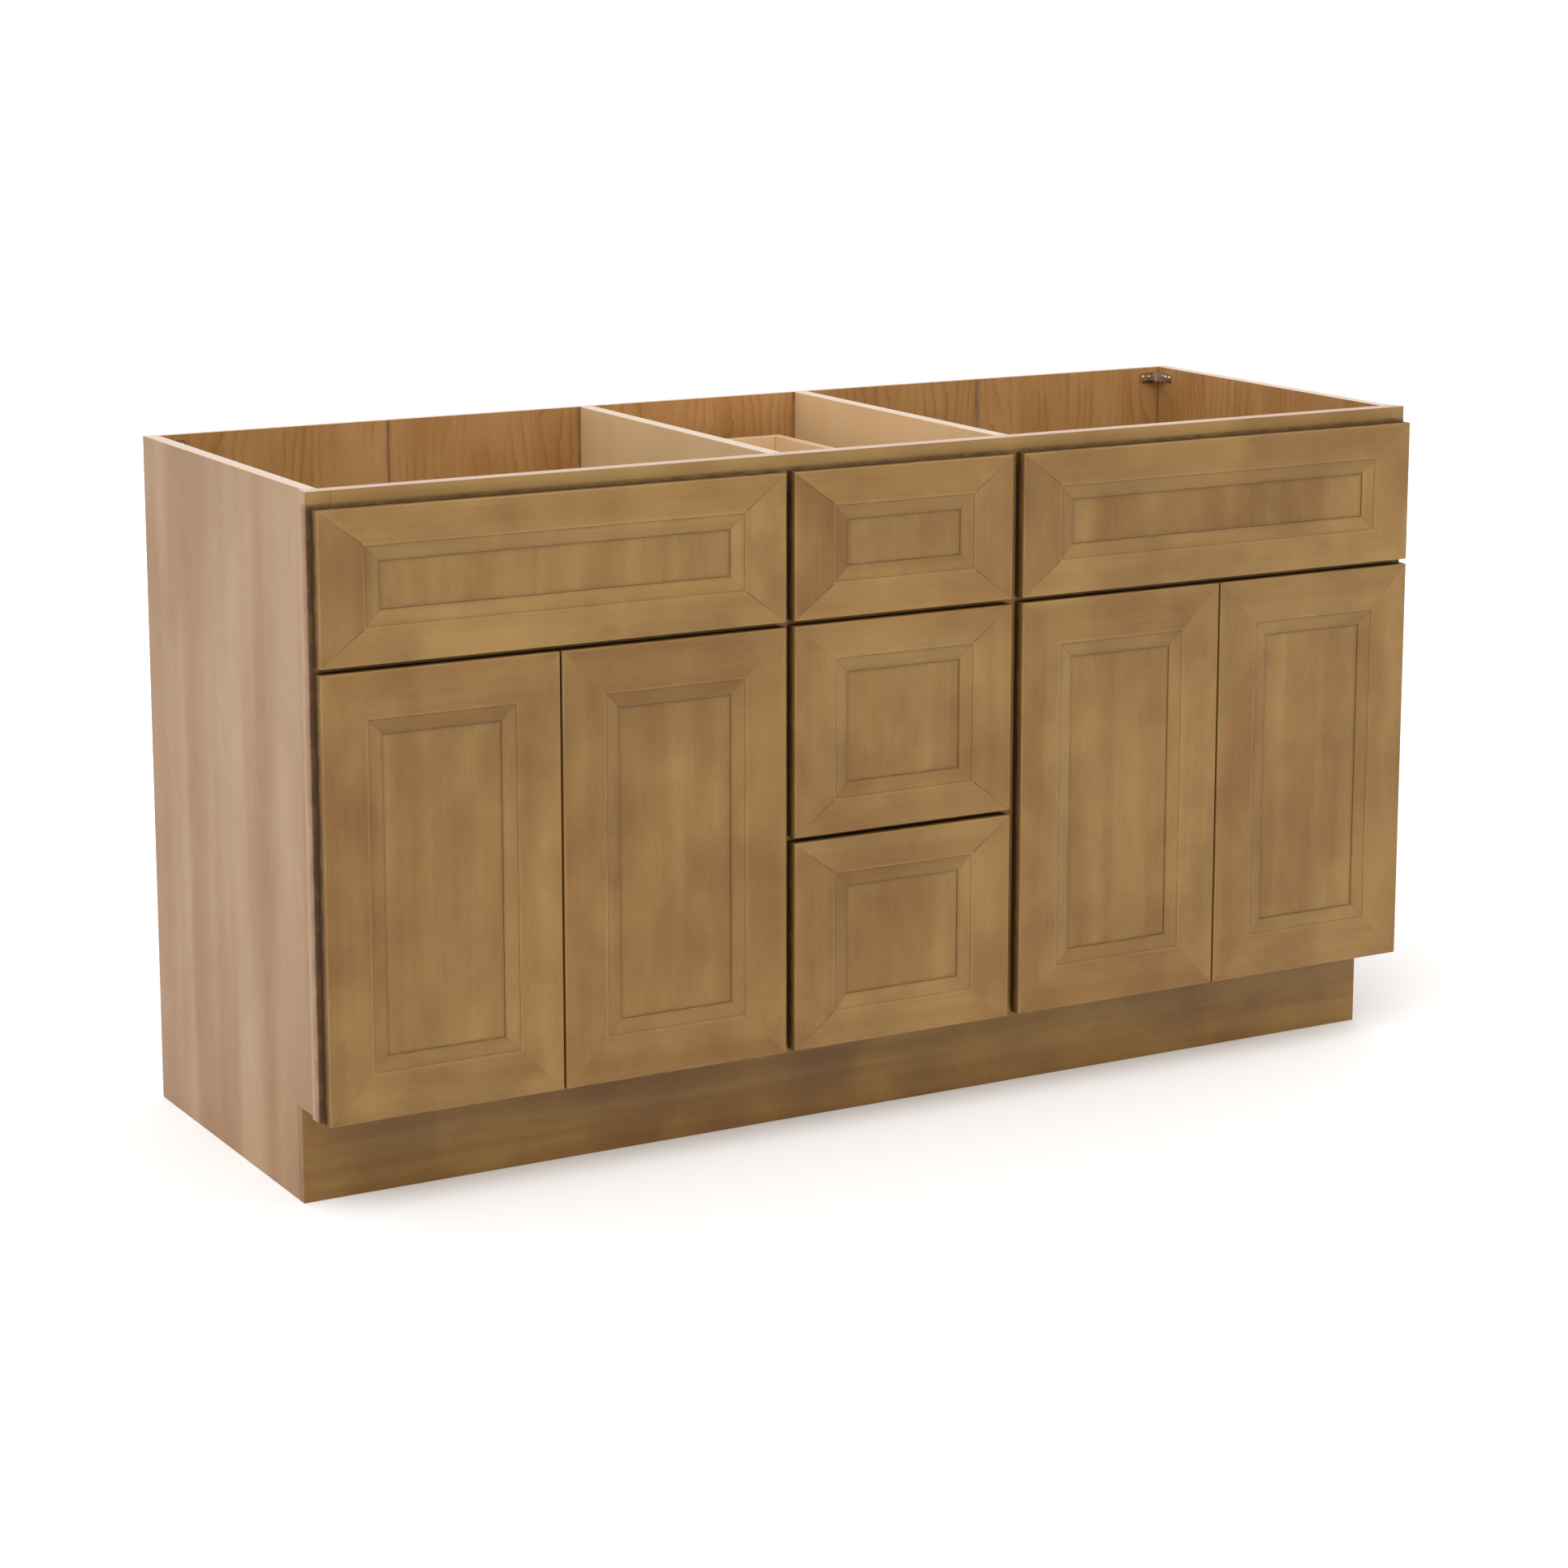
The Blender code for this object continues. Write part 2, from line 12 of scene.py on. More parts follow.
import bmesh
import bpy
from mathutils import Matrix, Vector
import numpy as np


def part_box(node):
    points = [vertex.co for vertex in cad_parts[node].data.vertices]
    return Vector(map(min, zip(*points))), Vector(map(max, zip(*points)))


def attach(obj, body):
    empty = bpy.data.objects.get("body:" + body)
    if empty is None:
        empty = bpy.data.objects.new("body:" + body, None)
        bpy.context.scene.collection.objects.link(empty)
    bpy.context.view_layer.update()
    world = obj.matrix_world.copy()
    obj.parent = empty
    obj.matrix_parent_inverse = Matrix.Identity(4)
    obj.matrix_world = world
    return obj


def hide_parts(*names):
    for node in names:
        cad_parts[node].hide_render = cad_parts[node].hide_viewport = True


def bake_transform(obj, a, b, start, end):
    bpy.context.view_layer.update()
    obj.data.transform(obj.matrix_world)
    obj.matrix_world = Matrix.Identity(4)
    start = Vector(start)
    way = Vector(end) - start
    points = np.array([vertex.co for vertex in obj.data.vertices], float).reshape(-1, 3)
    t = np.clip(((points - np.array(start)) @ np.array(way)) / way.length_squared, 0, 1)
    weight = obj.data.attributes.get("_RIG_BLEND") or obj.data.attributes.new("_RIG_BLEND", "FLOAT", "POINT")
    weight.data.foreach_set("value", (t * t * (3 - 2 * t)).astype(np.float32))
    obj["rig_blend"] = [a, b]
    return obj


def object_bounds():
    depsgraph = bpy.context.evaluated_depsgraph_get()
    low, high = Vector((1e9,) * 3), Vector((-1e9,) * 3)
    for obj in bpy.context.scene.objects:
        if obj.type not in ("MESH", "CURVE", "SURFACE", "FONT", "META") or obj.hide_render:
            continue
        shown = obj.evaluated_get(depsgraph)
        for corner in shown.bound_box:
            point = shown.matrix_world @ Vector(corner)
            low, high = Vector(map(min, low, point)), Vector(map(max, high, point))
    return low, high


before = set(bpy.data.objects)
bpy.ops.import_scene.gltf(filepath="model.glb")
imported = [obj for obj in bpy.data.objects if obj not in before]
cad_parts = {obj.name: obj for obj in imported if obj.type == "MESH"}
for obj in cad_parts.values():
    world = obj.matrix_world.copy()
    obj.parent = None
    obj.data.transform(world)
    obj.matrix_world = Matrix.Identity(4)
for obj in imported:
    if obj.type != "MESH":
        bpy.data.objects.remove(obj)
CAD_LOW, CAD_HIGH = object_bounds()

# Board edges and mouldings
ARRIS = 0.0007  # rounding of a sawn board's edges
FRONT_ARRIS = 0.0020  # rounding of a door's outer edges
ARC_STEPS = 4
MEMBER_WIDTH = 0.0555
SHORT_RAIL = 0.0430
BEVEL_WIDTH = 0.0182
BEVEL_DROP = 0.0026
QUIRK = 0.0006
LIP = 0.0004
PANEL_TUCK = 0.0075  # how far a front's panel reaches into its frame
PANEL_REST = 0.0060  # width of the rabbet that it lies in
PANEL_EASE = 0.0003
# the glaze line round a panel's edge, and how far its painted shadow fades across the panel
GLAZE_WIDTH = 0.0016
GLAZE_AND_SHADOW_FADE = 0.0060
BACK_EASE = 0.0008  # chamfer round the back of a front
EDGE_SHADE = ((0.0, 2.2), (0.26, 1.7), (0.56, 0.6), (0.76, 0.2))  # painted shade up the outer edge of a front, darkest at its back
# glaze out of the quirk at the bevel's top, and painted shadow at its foot
BEVEL_GLAZE_AND_SHADE = ((0.0006, 0.6), (0.0018, 0.15), (0.004, 0.0), (0.0140, 0.0), (0.0168, 0.25))
BEVEL_SHADE = {(0, 1): 0.20, (0, -1): 0.07}  # painted shade along the rails' bevels: heavier on the top rail's, lighter on the bottom rail's
MITRE_GAP = 0.00003
MITRE_FADE = 0.0012
JOINT_CLOSE = 0.00026  # how far a glued rail reaches into its gap at each end

# Fittings
BOX_WALL = 0.0127
BOX_GROOVE = 0.0060
SLIDE_SHEET = 0.0012
SLIDE_LIP = 0.0054
RUNNER_SHEET = 0.0011
WHEEL_RADIUS = 0.0112
WHEEL_WIDTH = 0.0062
SOCKET_WALL = 0.0021
SOCKET_REACH = 0.020
CUP_RADIUS = 0.0175
CUP_SETBACK = 0.0225
EAR_RADIUS = 0.0100  # of the cup's two screw ears
FLANGE_SHEET = 0.0010
ARM_HOLD = 0.0125  # from the hinge's inner side to the frame's edge
ARM_RISE = 0.0120
ARM_HALF = 0.0076
PLATE_SHEET = 0.0014
BRACE_SHEET = 0.0020
BRACE_LEG = 0.0310
BRACE_BRIDGE = 0.0120
FIT = 0.0003  # clearance between a fitting and the wood
SLIP = 0.0002  # a closer clearance, where one piece lies along another

X, Y, Z = 0, 1, 2
FRAME_FACE, FRAME_BACK = (side.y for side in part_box("frame_top_rail"))
DOORS = (  # and which way is inward from the hinged edge
    ("door_far_left", 1),
    ("door_mid_left", -1),
    ("door_mid_right", 1),
    ("door_far_right", -1),
)
DRAWERS = ("drawer_top", "drawer_middle", "drawer_bottom")
# the glaze mark carries dark glaze and painted shade; the last mark carries a painted highlight
BOARD_MARKS = ("board_depth", "board_tone", "glaze", "edge_highlight")

# Studio
TENT_LIGHT = 1.05
KEY_LIGHT = 1.5
KEY_FROM = (-0.44, -0.53, 0.73)
KEY_SPREAD = 50
FRONT_LIGHT = 1.33  # how much the lamps brighten a stain
FRONT_SHEEN = 0.038  # white that lacquer lays over a stain
SIDE_SHEEN = 0.07
INSIDE_SHEEN = 0.02
RIM_SHEEN = 0.012
FLOOR_SIZE = 14.0
FLOOR_DROP = 0.0005
LENS = 86.86
LENS_SHIFT = -0.10
CAMERA_PLACE = (-2.321, -4.094, 1.456)
CAMERA_TILT = 10.59
CAMERA_TURN = -29.39


# Wiring of materials


def add_node(tree, kind, wires=None, **settings):
    """Adds a node, sets it up, and feeds each named input from a socket or a value."""
    node = tree.nodes.new(kind)
    for key, value in settings.items():
        setattr(node, key, value)
    for key, value in (wires or {}).items():
        feed(tree, node.inputs[key], value)
    return node


def feed(tree, socket, value):
    if isinstance(value, bpy.types.NodeSocket):
        tree.links.new(value, socket)
    else:
        socket.default_value = value


def sums(tree, operation, *values, clamp=False):
    """One step of arithmetic."""
    node = tree.nodes.new("ShaderNodeMath")
    node.operation = operation
    node.use_clamp = clamp
    for socket, value in zip(node.inputs, values):
        feed(tree, socket, value)
    return node.outputs[0]


def spread(tree, value, low, high, to_low=0.0, to_high=1.0):
    """Stretches a value from one range to another, held at both ends."""
    node = add_node(tree, "ShaderNodeMapRange", interpolation_type="SMOOTHSTEP")
    for socket, given in zip(node.inputs, (value, low, high, to_low, to_high)):
        feed(tree, socket, given)
    return node.outputs[0]


def tint(tree, amount, first, second, mode="MIX"):
    """Mixes two colours."""
    node = tree.nodes.new("ShaderNodeMix")
    node.data_type = "RGBA"
    node.blend_type = mode
    feed(tree, node.inputs[0], amount)
    feed(tree, node.inputs[6], first)
    feed(tree, node.inputs[7], second)
    return node.outputs[2]


def stretch(tree, place, along, across, through, shift=0.0):
    """Scales a place in a board separately in its three directions."""
    factors = tree.nodes.new("ShaderNodeCombineXYZ")
    for socket, value in zip(factors.inputs, (along, across, through)):
        feed(tree, socket, value)
    scaled = add_node(tree, "ShaderNodeVectorMath", operation="MULTIPLY_ADD")
    feed(tree, scaled.inputs[0], place)
    tree.links.new(factors.outputs[0], scaled.inputs[1])
    scaled.inputs[2].default_value = (shift, shift * 1.7, shift * 0.6)
    return scaled.outputs[0]


def noise(tree, place, detail=2.0, roughness=0.5, distortion=0.0, scale=1.0):
    return add_node(
        tree,
        "ShaderNodeTexNoise",
        {
            "Vector": place,
            "Scale": scale,
            "Detail": detail,
            "Roughness": roughness,
            "Distortion": distortion,
        },
    ).outputs[0]


def start_group(name, inputs, outputs):
    """A node group with named inputs (label, kind, value) and outputs (label, kind)."""
    tree = bpy.data.node_groups.new(name, "ShaderNodeTree")
    for label, kind, value in inputs:
        socket = tree.interface.new_socket(label, in_out="INPUT", socket_type=kind)
        socket.default_value = value
    for label, kind in outputs:
        tree.interface.new_socket(label, in_out="OUTPUT", socket_type=kind)
    entry = tree.nodes.new("NodeGroupInput")
    leave = tree.nodes.new("NodeGroupOutput")
    return tree, entry.outputs, leave.inputs


def place_group(tree, group, wires):
    node = tree.nodes.new("ShaderNodeGroup")
    node.node_tree = group
    for key, value in wires.items():
        feed(tree, node.inputs[key], value)
    return node.outputs


FLOAT, VECTOR, COLOUR = "NodeSocketFloat", "NodeSocketVector", "NodeSocketColor"


def make_figure_group():
    """The figure of a board: broad bands, mottled clouds, fibres and short flecks."""
    tree, given, out = start_group(
        "wood_figure",
        [
            ("Place", VECTOR, (0.0, 0.0, 0.0)),
            ("Band Width", FLOAT, 0.03),
            ("Cloud Size", FLOAT, 0.09),
            ("Fibre Width", FLOAT, 0.0012),
            ("Waviness", FLOAT, 0.4),
            ("Ring Spacing", FLOAT, 0.012),
        ],
        [(label, FLOAT) for label in ("Bands", "Clouds", "Streaks", "Fibres", "Flecks", "Rings")],
    )
    per_band = sums(tree, "DIVIDE", 1.0, given["Band Width"])
    slow = sums(tree, "MULTIPLY", per_band, 0.05)
    place = stretch(tree, given["Place"], slow, per_band, per_band)
    bands = noise(tree, place, 1.0, 0.45, given["Waviness"])
    per_cloud = sums(tree, "DIVIDE", 1.0, given["Cloud Size"])
    cloud_across = sums(tree, "MULTIPLY", per_cloud, 1.8)
    place = stretch(tree, given["Place"], per_cloud, cloud_across, per_cloud, 3.1)
    clouds = noise(tree, place, 3.0, 0.5, 0.3)
    per_fibre = sums(tree, "DIVIDE", 1.0, given["Fibre Width"])
    streak_across = sums(tree, "MULTIPLY", per_fibre, 0.18)
    streak_along = sums(tree, "MULTIPLY", per_fibre, 0.0035)
    place = stretch(tree, given["Place"], streak_along, streak_across, streak_across, 7.7)
    streaks = noise(tree, place, 3.0, 0.6, 0.15)
    fibre_along = sums(tree, "MULTIPLY", per_fibre, 0.02)
    place = stretch(tree, given["Place"], fibre_along, per_fibre, per_fibre, 5.3)
    fibres = noise(tree, place, 3.0, 0.65)
    fleck_along = sums(tree, "MULTIPLY", per_fibre, 0.10)
    fleck_across = sums(tree, "MULTIPLY", per_fibre, 0.8)
    place = stretch(tree, given["Place"], fleck_along, fleck_across, fleck_across, 9.1)
    flecks = noise(tree, place, 1.0, 0.4)
    sway = noise(tree, stretch(tree, given["Place"], 3.2, 9.0, 4.0, 1.3), 2.0, 0.55)
    ripple = noise(tree, stretch(tree, given["Place"], 45.0, 22.0, 4.0, 6.1), 2.0, 0.6)
    across = tree.nodes.new("ShaderNodeSeparateXYZ")
    tree.links.new(given["Place"], across.inputs[0])
    turn = sums(tree, "DIVIDE", across.outputs["Y"], given["Ring Spacing"])
    turn = sums(tree, "MULTIPLY_ADD", sway, 7.0, turn)
    turn = sums(tree, "MULTIPLY_ADD", ripple, 0.55, turn)
    part = sums(tree, "FRACT", turn)
    late_wood = spread(tree, part, 0.0, 0.16, 1.0, 0.0)
    early_wood = spread(tree, part, 0.55, 1.0, 0.0, 0.45)
    rings = sums(tree, "MAXIMUM", late_wood, early_wood)
    patches = noise(tree, stretch(tree, given["Place"], 6.0, 14.0, 4.0, 8.4), 2.0)
    hold = spread(tree, patches, 0.35, 0.6)
    tree.links.new(sums(tree, "MULTIPLY", rings, hold), out["Rings"])
    for label, value, low, high in (
        ("Bands", bands, 0.34, 0.66),
        ("Clouds", clouds, 0.32, 0.68),
        ("Streaks", streaks, 0.36, 0.64),
        ("Fibres", fibres, 0.34, 0.66),
        ("Flecks", flecks, 0.62, 0.74),
    ):
        tree.links.new(spread(tree, value, low, high), out[label])
    return tree


def make_stain_group():
    """Stain laid over the figure: it darkens bands and fibres and drifts in warmth."""
    tree, given, out = start_group(
        "stain",
        [
            ("Dark", COLOUR, (0.2, 0.1, 0.05, 1.0)),
            ("Light", COLOUR, (0.4, 0.25, 0.1, 1.0)),
            ("Warm", COLOUR, (0.4, 0.2, 0.1, 1.0)),
            ("Bands", FLOAT, 0.5),
            ("Clouds", FLOAT, 0.5),
            ("Streaks", FLOAT, 0.5),
            ("Fibres", FLOAT, 0.5),
            ("Flecks", FLOAT, 0.0),
            ("Tone", FLOAT, 0.0),
            ("Band Depth", FLOAT, 0.35),
            ("Cloud Depth", FLOAT, 0.35),
            ("Streak Depth", FLOAT, 0.2),
            ("Fibre Depth", FLOAT, 0.15),
            ("Fleck Depth", FLOAT, 0.1),
            ("Rings", FLOAT, 0.0),
            ("Ring Depth", FLOAT, 0.0),
            ("Warmth", FLOAT, 0.3),
        ],
        [("Colour", COLOUR), ("Lightness", FLOAT)],
    )
    level = sums(tree, "ADD", 0.5, given["Tone"])
    for part in ("Band", "Cloud", "Streak", "Fibre"):
        centred = sums(tree, "SUBTRACT", given[part + "s"], 0.5)
        level = sums(tree, "MULTIPLY_ADD", centred, given[part + " Depth"], level)
    fleck = sums(tree, "MULTIPLY", given["Flecks"], given["Fleck Depth"])
    level = sums(tree, "SUBTRACT", level, fleck)
    ring = sums(tree, "MULTIPLY", given["Rings"], given["Ring Depth"])
    level = sums(tree, "SUBTRACT", level, ring, clamp=True)
    colour = tint(tree, level, given["Dark"], given["Light"])
    opposite = sums(tree, "SUBTRACT", 1.0, given["Bands"])
    patch = sums(tree, "MULTIPLY", opposite, given["Warmth"], clamp=True)
    tree.links.new(tint(tree, patch, colour, given["Warm"]), out["Colour"])
    tree.links.new(level, out["Lightness"])
    return tree


def make_glaze_shade_highlight_group():
    """Dark glaze left in quirks and joints, painted shade in gaps and recesses, and a painted highlight on
    rounded edges and lips.
    """
    tree, given, out = start_group(
        "glaze_shade_and_highlight",
        [
            ("Colour", COLOUR, (0.4, 0.25, 0.1, 1.0)),
            ("Place", VECTOR, (0.0, 0.0, 0.0)),
            ("Glazing And Shading", FLOAT, 0.0),
            ("Highlight", FLOAT, 0.0),
            ("Glazing And Shading Colour", COLOUR, (0.05, 0.02, 0.01, 1.0)),
            ("Highlight Colour", COLOUR, (0.6, 0.4, 0.25, 1.0)),
            ("Glazing And Shading Strength", FLOAT, 0.7),
            ("Highlight Strength", FLOAT, 0.5),
        ],
        [("Colour", COLOUR), ("Glazing And Shading", FLOAT)],
    )
    # darkens towards the glaze colour: glaze in joints and quirks, painted shade in gaps and recesses
    place = stretch(tree, given["Place"], 38.0, 60.0, 60.0)
    uneven = spread(tree, noise(tree, place, 3.0, 0.6), 0.3, 0.7, 0.55, 1.1)
    held = sums(tree, "MULTIPLY", given["Glazing And Shading"], given["Glazing And Shading Strength"])
    held = sums(tree, "MULTIPLY", held, uneven, clamp=True)
    colour = tint(tree, held, given["Colour"], given["Glazing And Shading Colour"])
    # lightens towards a paler colour: a painted highlight on rounded edges and lips
    place = stretch(tree, given["Place"], 16.0, 140.0, 140.0, 2.3)
    patchy = spread(tree, noise(tree, place, 3.0, 0.6), 0.35, 0.65, 0.25, 1.0)
    highlighted = sums(tree, "MULTIPLY", given["Highlight"], given["Highlight Strength"])
    highlighted = sums(tree, "MULTIPLY", highlighted, patchy, clamp=True)
    tree.links.new(tint(tree, highlighted, colour, given["Highlight Colour"]), out["Colour"])
    tree.links.new(held, out["Glazing And Shading"])
    return tree


def make_ply_group():
    """Thin veneers glued crossways, seen on a sheet's sawn edge."""
    tree, given, out = start_group(
        "ply_layers",
        [
            ("Place", VECTOR, (0.0, 0.0, 0.0)),
            ("Depth", FLOAT, 0.0),
            ("Layer", FLOAT, 0.0026),
            ("Pale", COLOUR, (0.75, 0.6, 0.45, 1.0)),
            ("Cross", COLOUR, (0.5, 0.33, 0.2, 1.0)),
            ("Glue", COLOUR, (0.2, 0.1, 0.05, 1.0)),
        ],
        [("Colour", COLOUR), ("Height", FLOAT)],
    )
    jitter = noise(tree, stretch(tree, given["Place"], 9.0, 9.0, 9.0), 2.0)
    bend = sums(tree, "MULTIPLY_ADD", jitter, 0.0006, given["Depth"])
    turn = sums(tree, "DIVIDE", bend, given["Layer"])
    half = sums(tree, "PINGPONG", turn, 1.0)
    crossed = spread(tree, half, 0.46, 0.54)
    speckle = noise(tree, stretch(tree, given["Place"], 500.0, 500.0, 900.0), 3.0, 0.7)
    pores = sums(tree, "MULTIPLY", spread(tree, speckle, 0.45, 0.75), crossed)
    colour = tint(tree, crossed, given["Pale"], given["Cross"])
    colour = tint(tree, sums(tree, "MULTIPLY", pores, 0.35), colour, given["Glue"])
    line = sums(tree, "ABSOLUTE", sums(tree, "SUBTRACT", half, 0.5))
    glue = sums(tree, "SUBTRACT", 1.0, spread(tree, line, 0.0, 0.06))
    colour = tint(tree, sums(tree, "MULTIPLY", glue, 0.55), colour, given["Glue"])
    tree.links.new(colour, out["Colour"])
    sunk = sums(tree, "MULTIPLY", glue, 0.4)
    tree.links.new(sums(tree, "SUBTRACT", speckle, sunk), out["Height"])
    return tree


def make_sheen_group():
    """How even the lacquer lies: wiped smears, fine dust nibs, and a duller sheen where glaze and painted
    shade lie.
    """
    tree, given, out = start_group(
        "lacquer_sheen",
        [
            ("Place", VECTOR, (0.0, 0.0, 0.0)),
            ("Gloss", FLOAT, 0.4),
            ("Fibres", FLOAT, 0.5),
            ("Glazing And Shading", FLOAT, 0.0),
        ],
        [("Roughness", FLOAT), ("Nibs", FLOAT)],
    )
    smear = noise(tree, stretch(tree, given["Place"], 7.0, 15.0, 15.0), 3.0, 0.6)
    level = sums(tree, "MULTIPLY_ADD", sums(tree, "SUBTRACT", smear, 0.5), 0.22, given["Gloss"])
    level = sums(tree, "MULTIPLY_ADD", sums(tree, "SUBTRACT", given["Fibres"], 0.5), -0.08, level)
    level = sums(tree, "MULTIPLY_ADD", given["Glazing And Shading"], 0.2, level, clamp=True)
    tree.links.new(level, out["Roughness"])
    grit = noise(tree, stretch(tree, given["Place"], 700.0, 700.0, 700.0), 1.0)
    tree.links.new(spread(tree, grit, 0.66, 0.76), out["Nibs"])
    return tree


def make_plate_group():
    """Zinc plate on pressed steel: soft blotches, drawn lines and small scuffs."""
    tree, given, out = start_group(
        "zinc_plate",
        [
            ("Place", VECTOR, (0.0, 0.0, 0.0)),
            ("Bright", COLOUR, (0.7, 0.7, 0.7, 1.0)),
            ("Dull", COLOUR, (0.4, 0.4, 0.4, 1.0)),
            ("Roughness", FLOAT, 0.3),
        ],
        [("Colour", COLOUR), ("Roughness", FLOAT), ("Height", FLOAT)],
    )
    blotch = noise(tree, stretch(tree, given["Place"], 70.0, 70.0, 70.0), 2.0, 0.5)
    blotch = spread(tree, blotch, 0.25, 0.75)
    drawn = noise(tree, stretch(tree, given["Place"], 900.0, 60.0, 1400.0), 3.0, 0.6)
    scuff = noise(tree, stretch(tree, given["Place"], 420.0, 900.0, 300.0, 4.0), 2.0)
    scuff = spread(tree, scuff, 0.62, 0.72)
    colour = tint(tree, blotch, given["Dull"], given["Bright"])
    dulled = sums(tree, "MULTIPLY", scuff, 0.4)
    tree.links.new(tint(tree, dulled, colour, given["Dull"]), out["Colour"])
    rough = sums(tree, "MULTIPLY_ADD", blotch, -0.12, given["Roughness"])
    rough = sums(tree, "MULTIPLY_ADD", drawn, 0.18, rough)
    tree.links.new(sums(tree, "MULTIPLY_ADD", scuff, 0.15, rough), out["Roughness"])
    tree.links.new(drawn, out["Height"])
    return tree


FIGURE = make_figure_group()
STAIN = make_stain_group()
GLAZE_SHADE_HIGHLIGHT = make_glaze_shade_highlight_group()
PLY = make_ply_group()
SHEEN = make_sheen_group()
PLATE = make_plate_group()


def new_material(name):
    material = bpy.data.materials.new(name)
    material.use_nodes = True
    tree = material.node_tree
    return material, tree, tree.nodes["Principled BSDF"]


def reads(tree, name, output):
    """What the board's vertices say under that name."""
    return add_node(tree, "ShaderNodeAttribute", attribute_name=name).outputs[output]


def raise_bump(tree, shader, height, distance, strength=1.0):
    bump = add_node(
        tree, "ShaderNodeBump", {"Height": height, "Distance": distance, "Strength": strength}
    )
    tree.links.new(bump.outputs["Normal"], shader.inputs["Normal"])


def rgb(red, green, blue):
    """A paint colour given on the usual 0 to 255 scale, as light."""
    return tuple(
        (part / 255 / 12.92) if part < 10.3 else ((part / 255 + 0.055) / 1.055) ** 2.4
        for part in (red, green, blue)
    ) + (1.0,)


def shown(red, green, blue, sheen=FRONT_SHEEN):
    """The pigment that looks this colour in the studio, on the same 0 to 255 scale."""
    return tuple(
        max(0.004, (part - sheen) / FRONT_LIGHT) for part in rgb(red, green, blue)[:3]
    ) + (1.0,)


def wood_finish(
    name, dark, light, warm, glaze, highlight, gloss=0.42, coat=0.12, specular=0.35, **figure
):
    """A stained and lacquered wood.  Figure holds sizes in metres and depths from 0 to 1."""
    material, tree, shader = new_material(name)
    place = reads(tree, "grain_place", "Vector")
    held = reads(tree, "glaze", "Fac")
    drawn = place_group(
        tree,
        FIGURE,
        {
            "Place": place,
            "Band Width": figure.get("band", 0.03),
            "Cloud Size": figure.get("cloud", 0.09),
            "Fibre Width": figure.get("fibre", 0.0012),
            "Waviness": figure.get("waviness", 0.4),
            "Ring Spacing": figure.get("ring", 0.012),
        },
    )
    coordinates = tree.nodes.new("ShaderNodeTexCoord").outputs["Object"]
    drift = noise(tree, stretch(tree, coordinates, 9.0, 9.0, 7.0), 3.0, 0.5, 0.2)
    clouds = sums(
        tree, "MULTIPLY_ADD", drawn["Clouds"], 0.35, spread(tree, drift, 0.3, 0.7, 0.0, 0.65)
    )
    stained = place_group(
        tree,
        STAIN,
        {
            "Dark": dark,
            "Light": light,
            "Warm": warm,
            "Bands": drawn["Bands"],
            "Clouds": clouds,
            "Streaks": drawn["Streaks"],
            "Fibres": drawn["Fibres"],
            "Flecks": drawn["Flecks"],
            "Tone": reads(tree, "board_tone", "Fac"),
            "Rings": drawn["Rings"],
            "Band Depth": figure.get("band_depth", 0.17),
            "Cloud Depth": figure.get("cloud_depth", 0.46),
            "Streak Depth": figure.get("streak_depth", 0.04),
            "Fibre Depth": figure.get("fibre_depth", 0.06),
            "Fleck Depth": figure.get("fleck_depth", 0.10),
            "Ring Depth": figure.get("ring_depth", 0.0),
            "Warmth": figure.get("warmth", 0.18),
        },
    )
    # the glaze mark darkens joints and quirks and also lays painted shade; the highlight mark lays a painted
    # highlight
    glazed_and_shaded = place_group(
        tree,
        GLAZE_SHADE_HIGHLIGHT,
        {
            "Colour": stained["Colour"],
            "Place": place,
            "Glazing And Shading": held,
            "Highlight": reads(tree, "edge_highlight", "Fac"),
            "Glazing And Shading Colour": glaze,
            "Highlight Colour": highlight,
            "Glazing And Shading Strength": figure.get("glaze_strength", 0.6),
            "Highlight Strength": figure.get("rub_strength", 0.45),
        },
    )
    tree.links.new(glazed_and_shaded["Colour"], shader.inputs["Base Color"])
    sheen = place_group(
        tree,
        SHEEN,
        {"Place": place, "Gloss": gloss, "Fibres": drawn["Fibres"], "Glazing And Shading": glazed_and_shaded["Glazing And Shading"]},
    )
    tree.links.new(sheen["Roughness"], shader.inputs["Roughness"])
    shader.inputs["Specular IOR Level"].default_value = specular
    shader.inputs["Coat Weight"].default_value = coat
    shader.inputs["Coat Roughness"].default_value = 0.35
    relief = sums(tree, "MULTIPLY_ADD", drawn["Flecks"], -0.6, drawn["Fibres"])
    relief = sums(tree, "MULTIPLY_ADD", drawn["Streaks"], 0.5, relief)
    relief = sums(tree, "MULTIPLY_ADD", sheen["Nibs"], 0.5, relief)
    raise_bump(tree, shader, relief, 0.00006, figure.get("relief", 0.5))
    return material


def sawn_ply(name, pale, cross, glue, layer=0.0026):
    """The sawn edge of a plywood sheet."""
    material, tree, shader = new_material(name)
    place = reads(tree, "grain_place", "Vector")
    layers = place_group(
        tree,
        PLY,
        {
            "Place": place,
            "Depth": reads(tree, "board_depth", "Fac"),
            "Layer": layer,
            "Pale": pale,
            "Cross": cross,
            "Glue": glue,
        },
    )
    tree.links.new(layers["Colour"], shader.inputs["Base Color"])
    shader.inputs["Roughness"].default_value = 0.7
    shader.inputs["Specular IOR Level"].default_value = 0.25
    raise_bump(tree, shader, layers["Height"], 0.0002, 0.5)
    return material


def plated_metal(name, bright, dull, roughness):
    material, tree, shader = new_material(name)
    plate = place_group(
        tree,
        PLATE,
        {
            "Place": tree.nodes.new("ShaderNodeTexCoord").outputs["Object"],
            "Bright": bright,
            "Dull": dull,
            "Roughness": roughness,
        },
    )
    tree.links.new(plate["Colour"], shader.inputs["Base Color"])
    tree.links.new(plate["Roughness"], shader.inputs["Roughness"])
    shader.inputs["Metallic"].default_value = 1.0
    raise_bump(tree, shader, plate["Height"], 0.00002, 0.25)
    return material


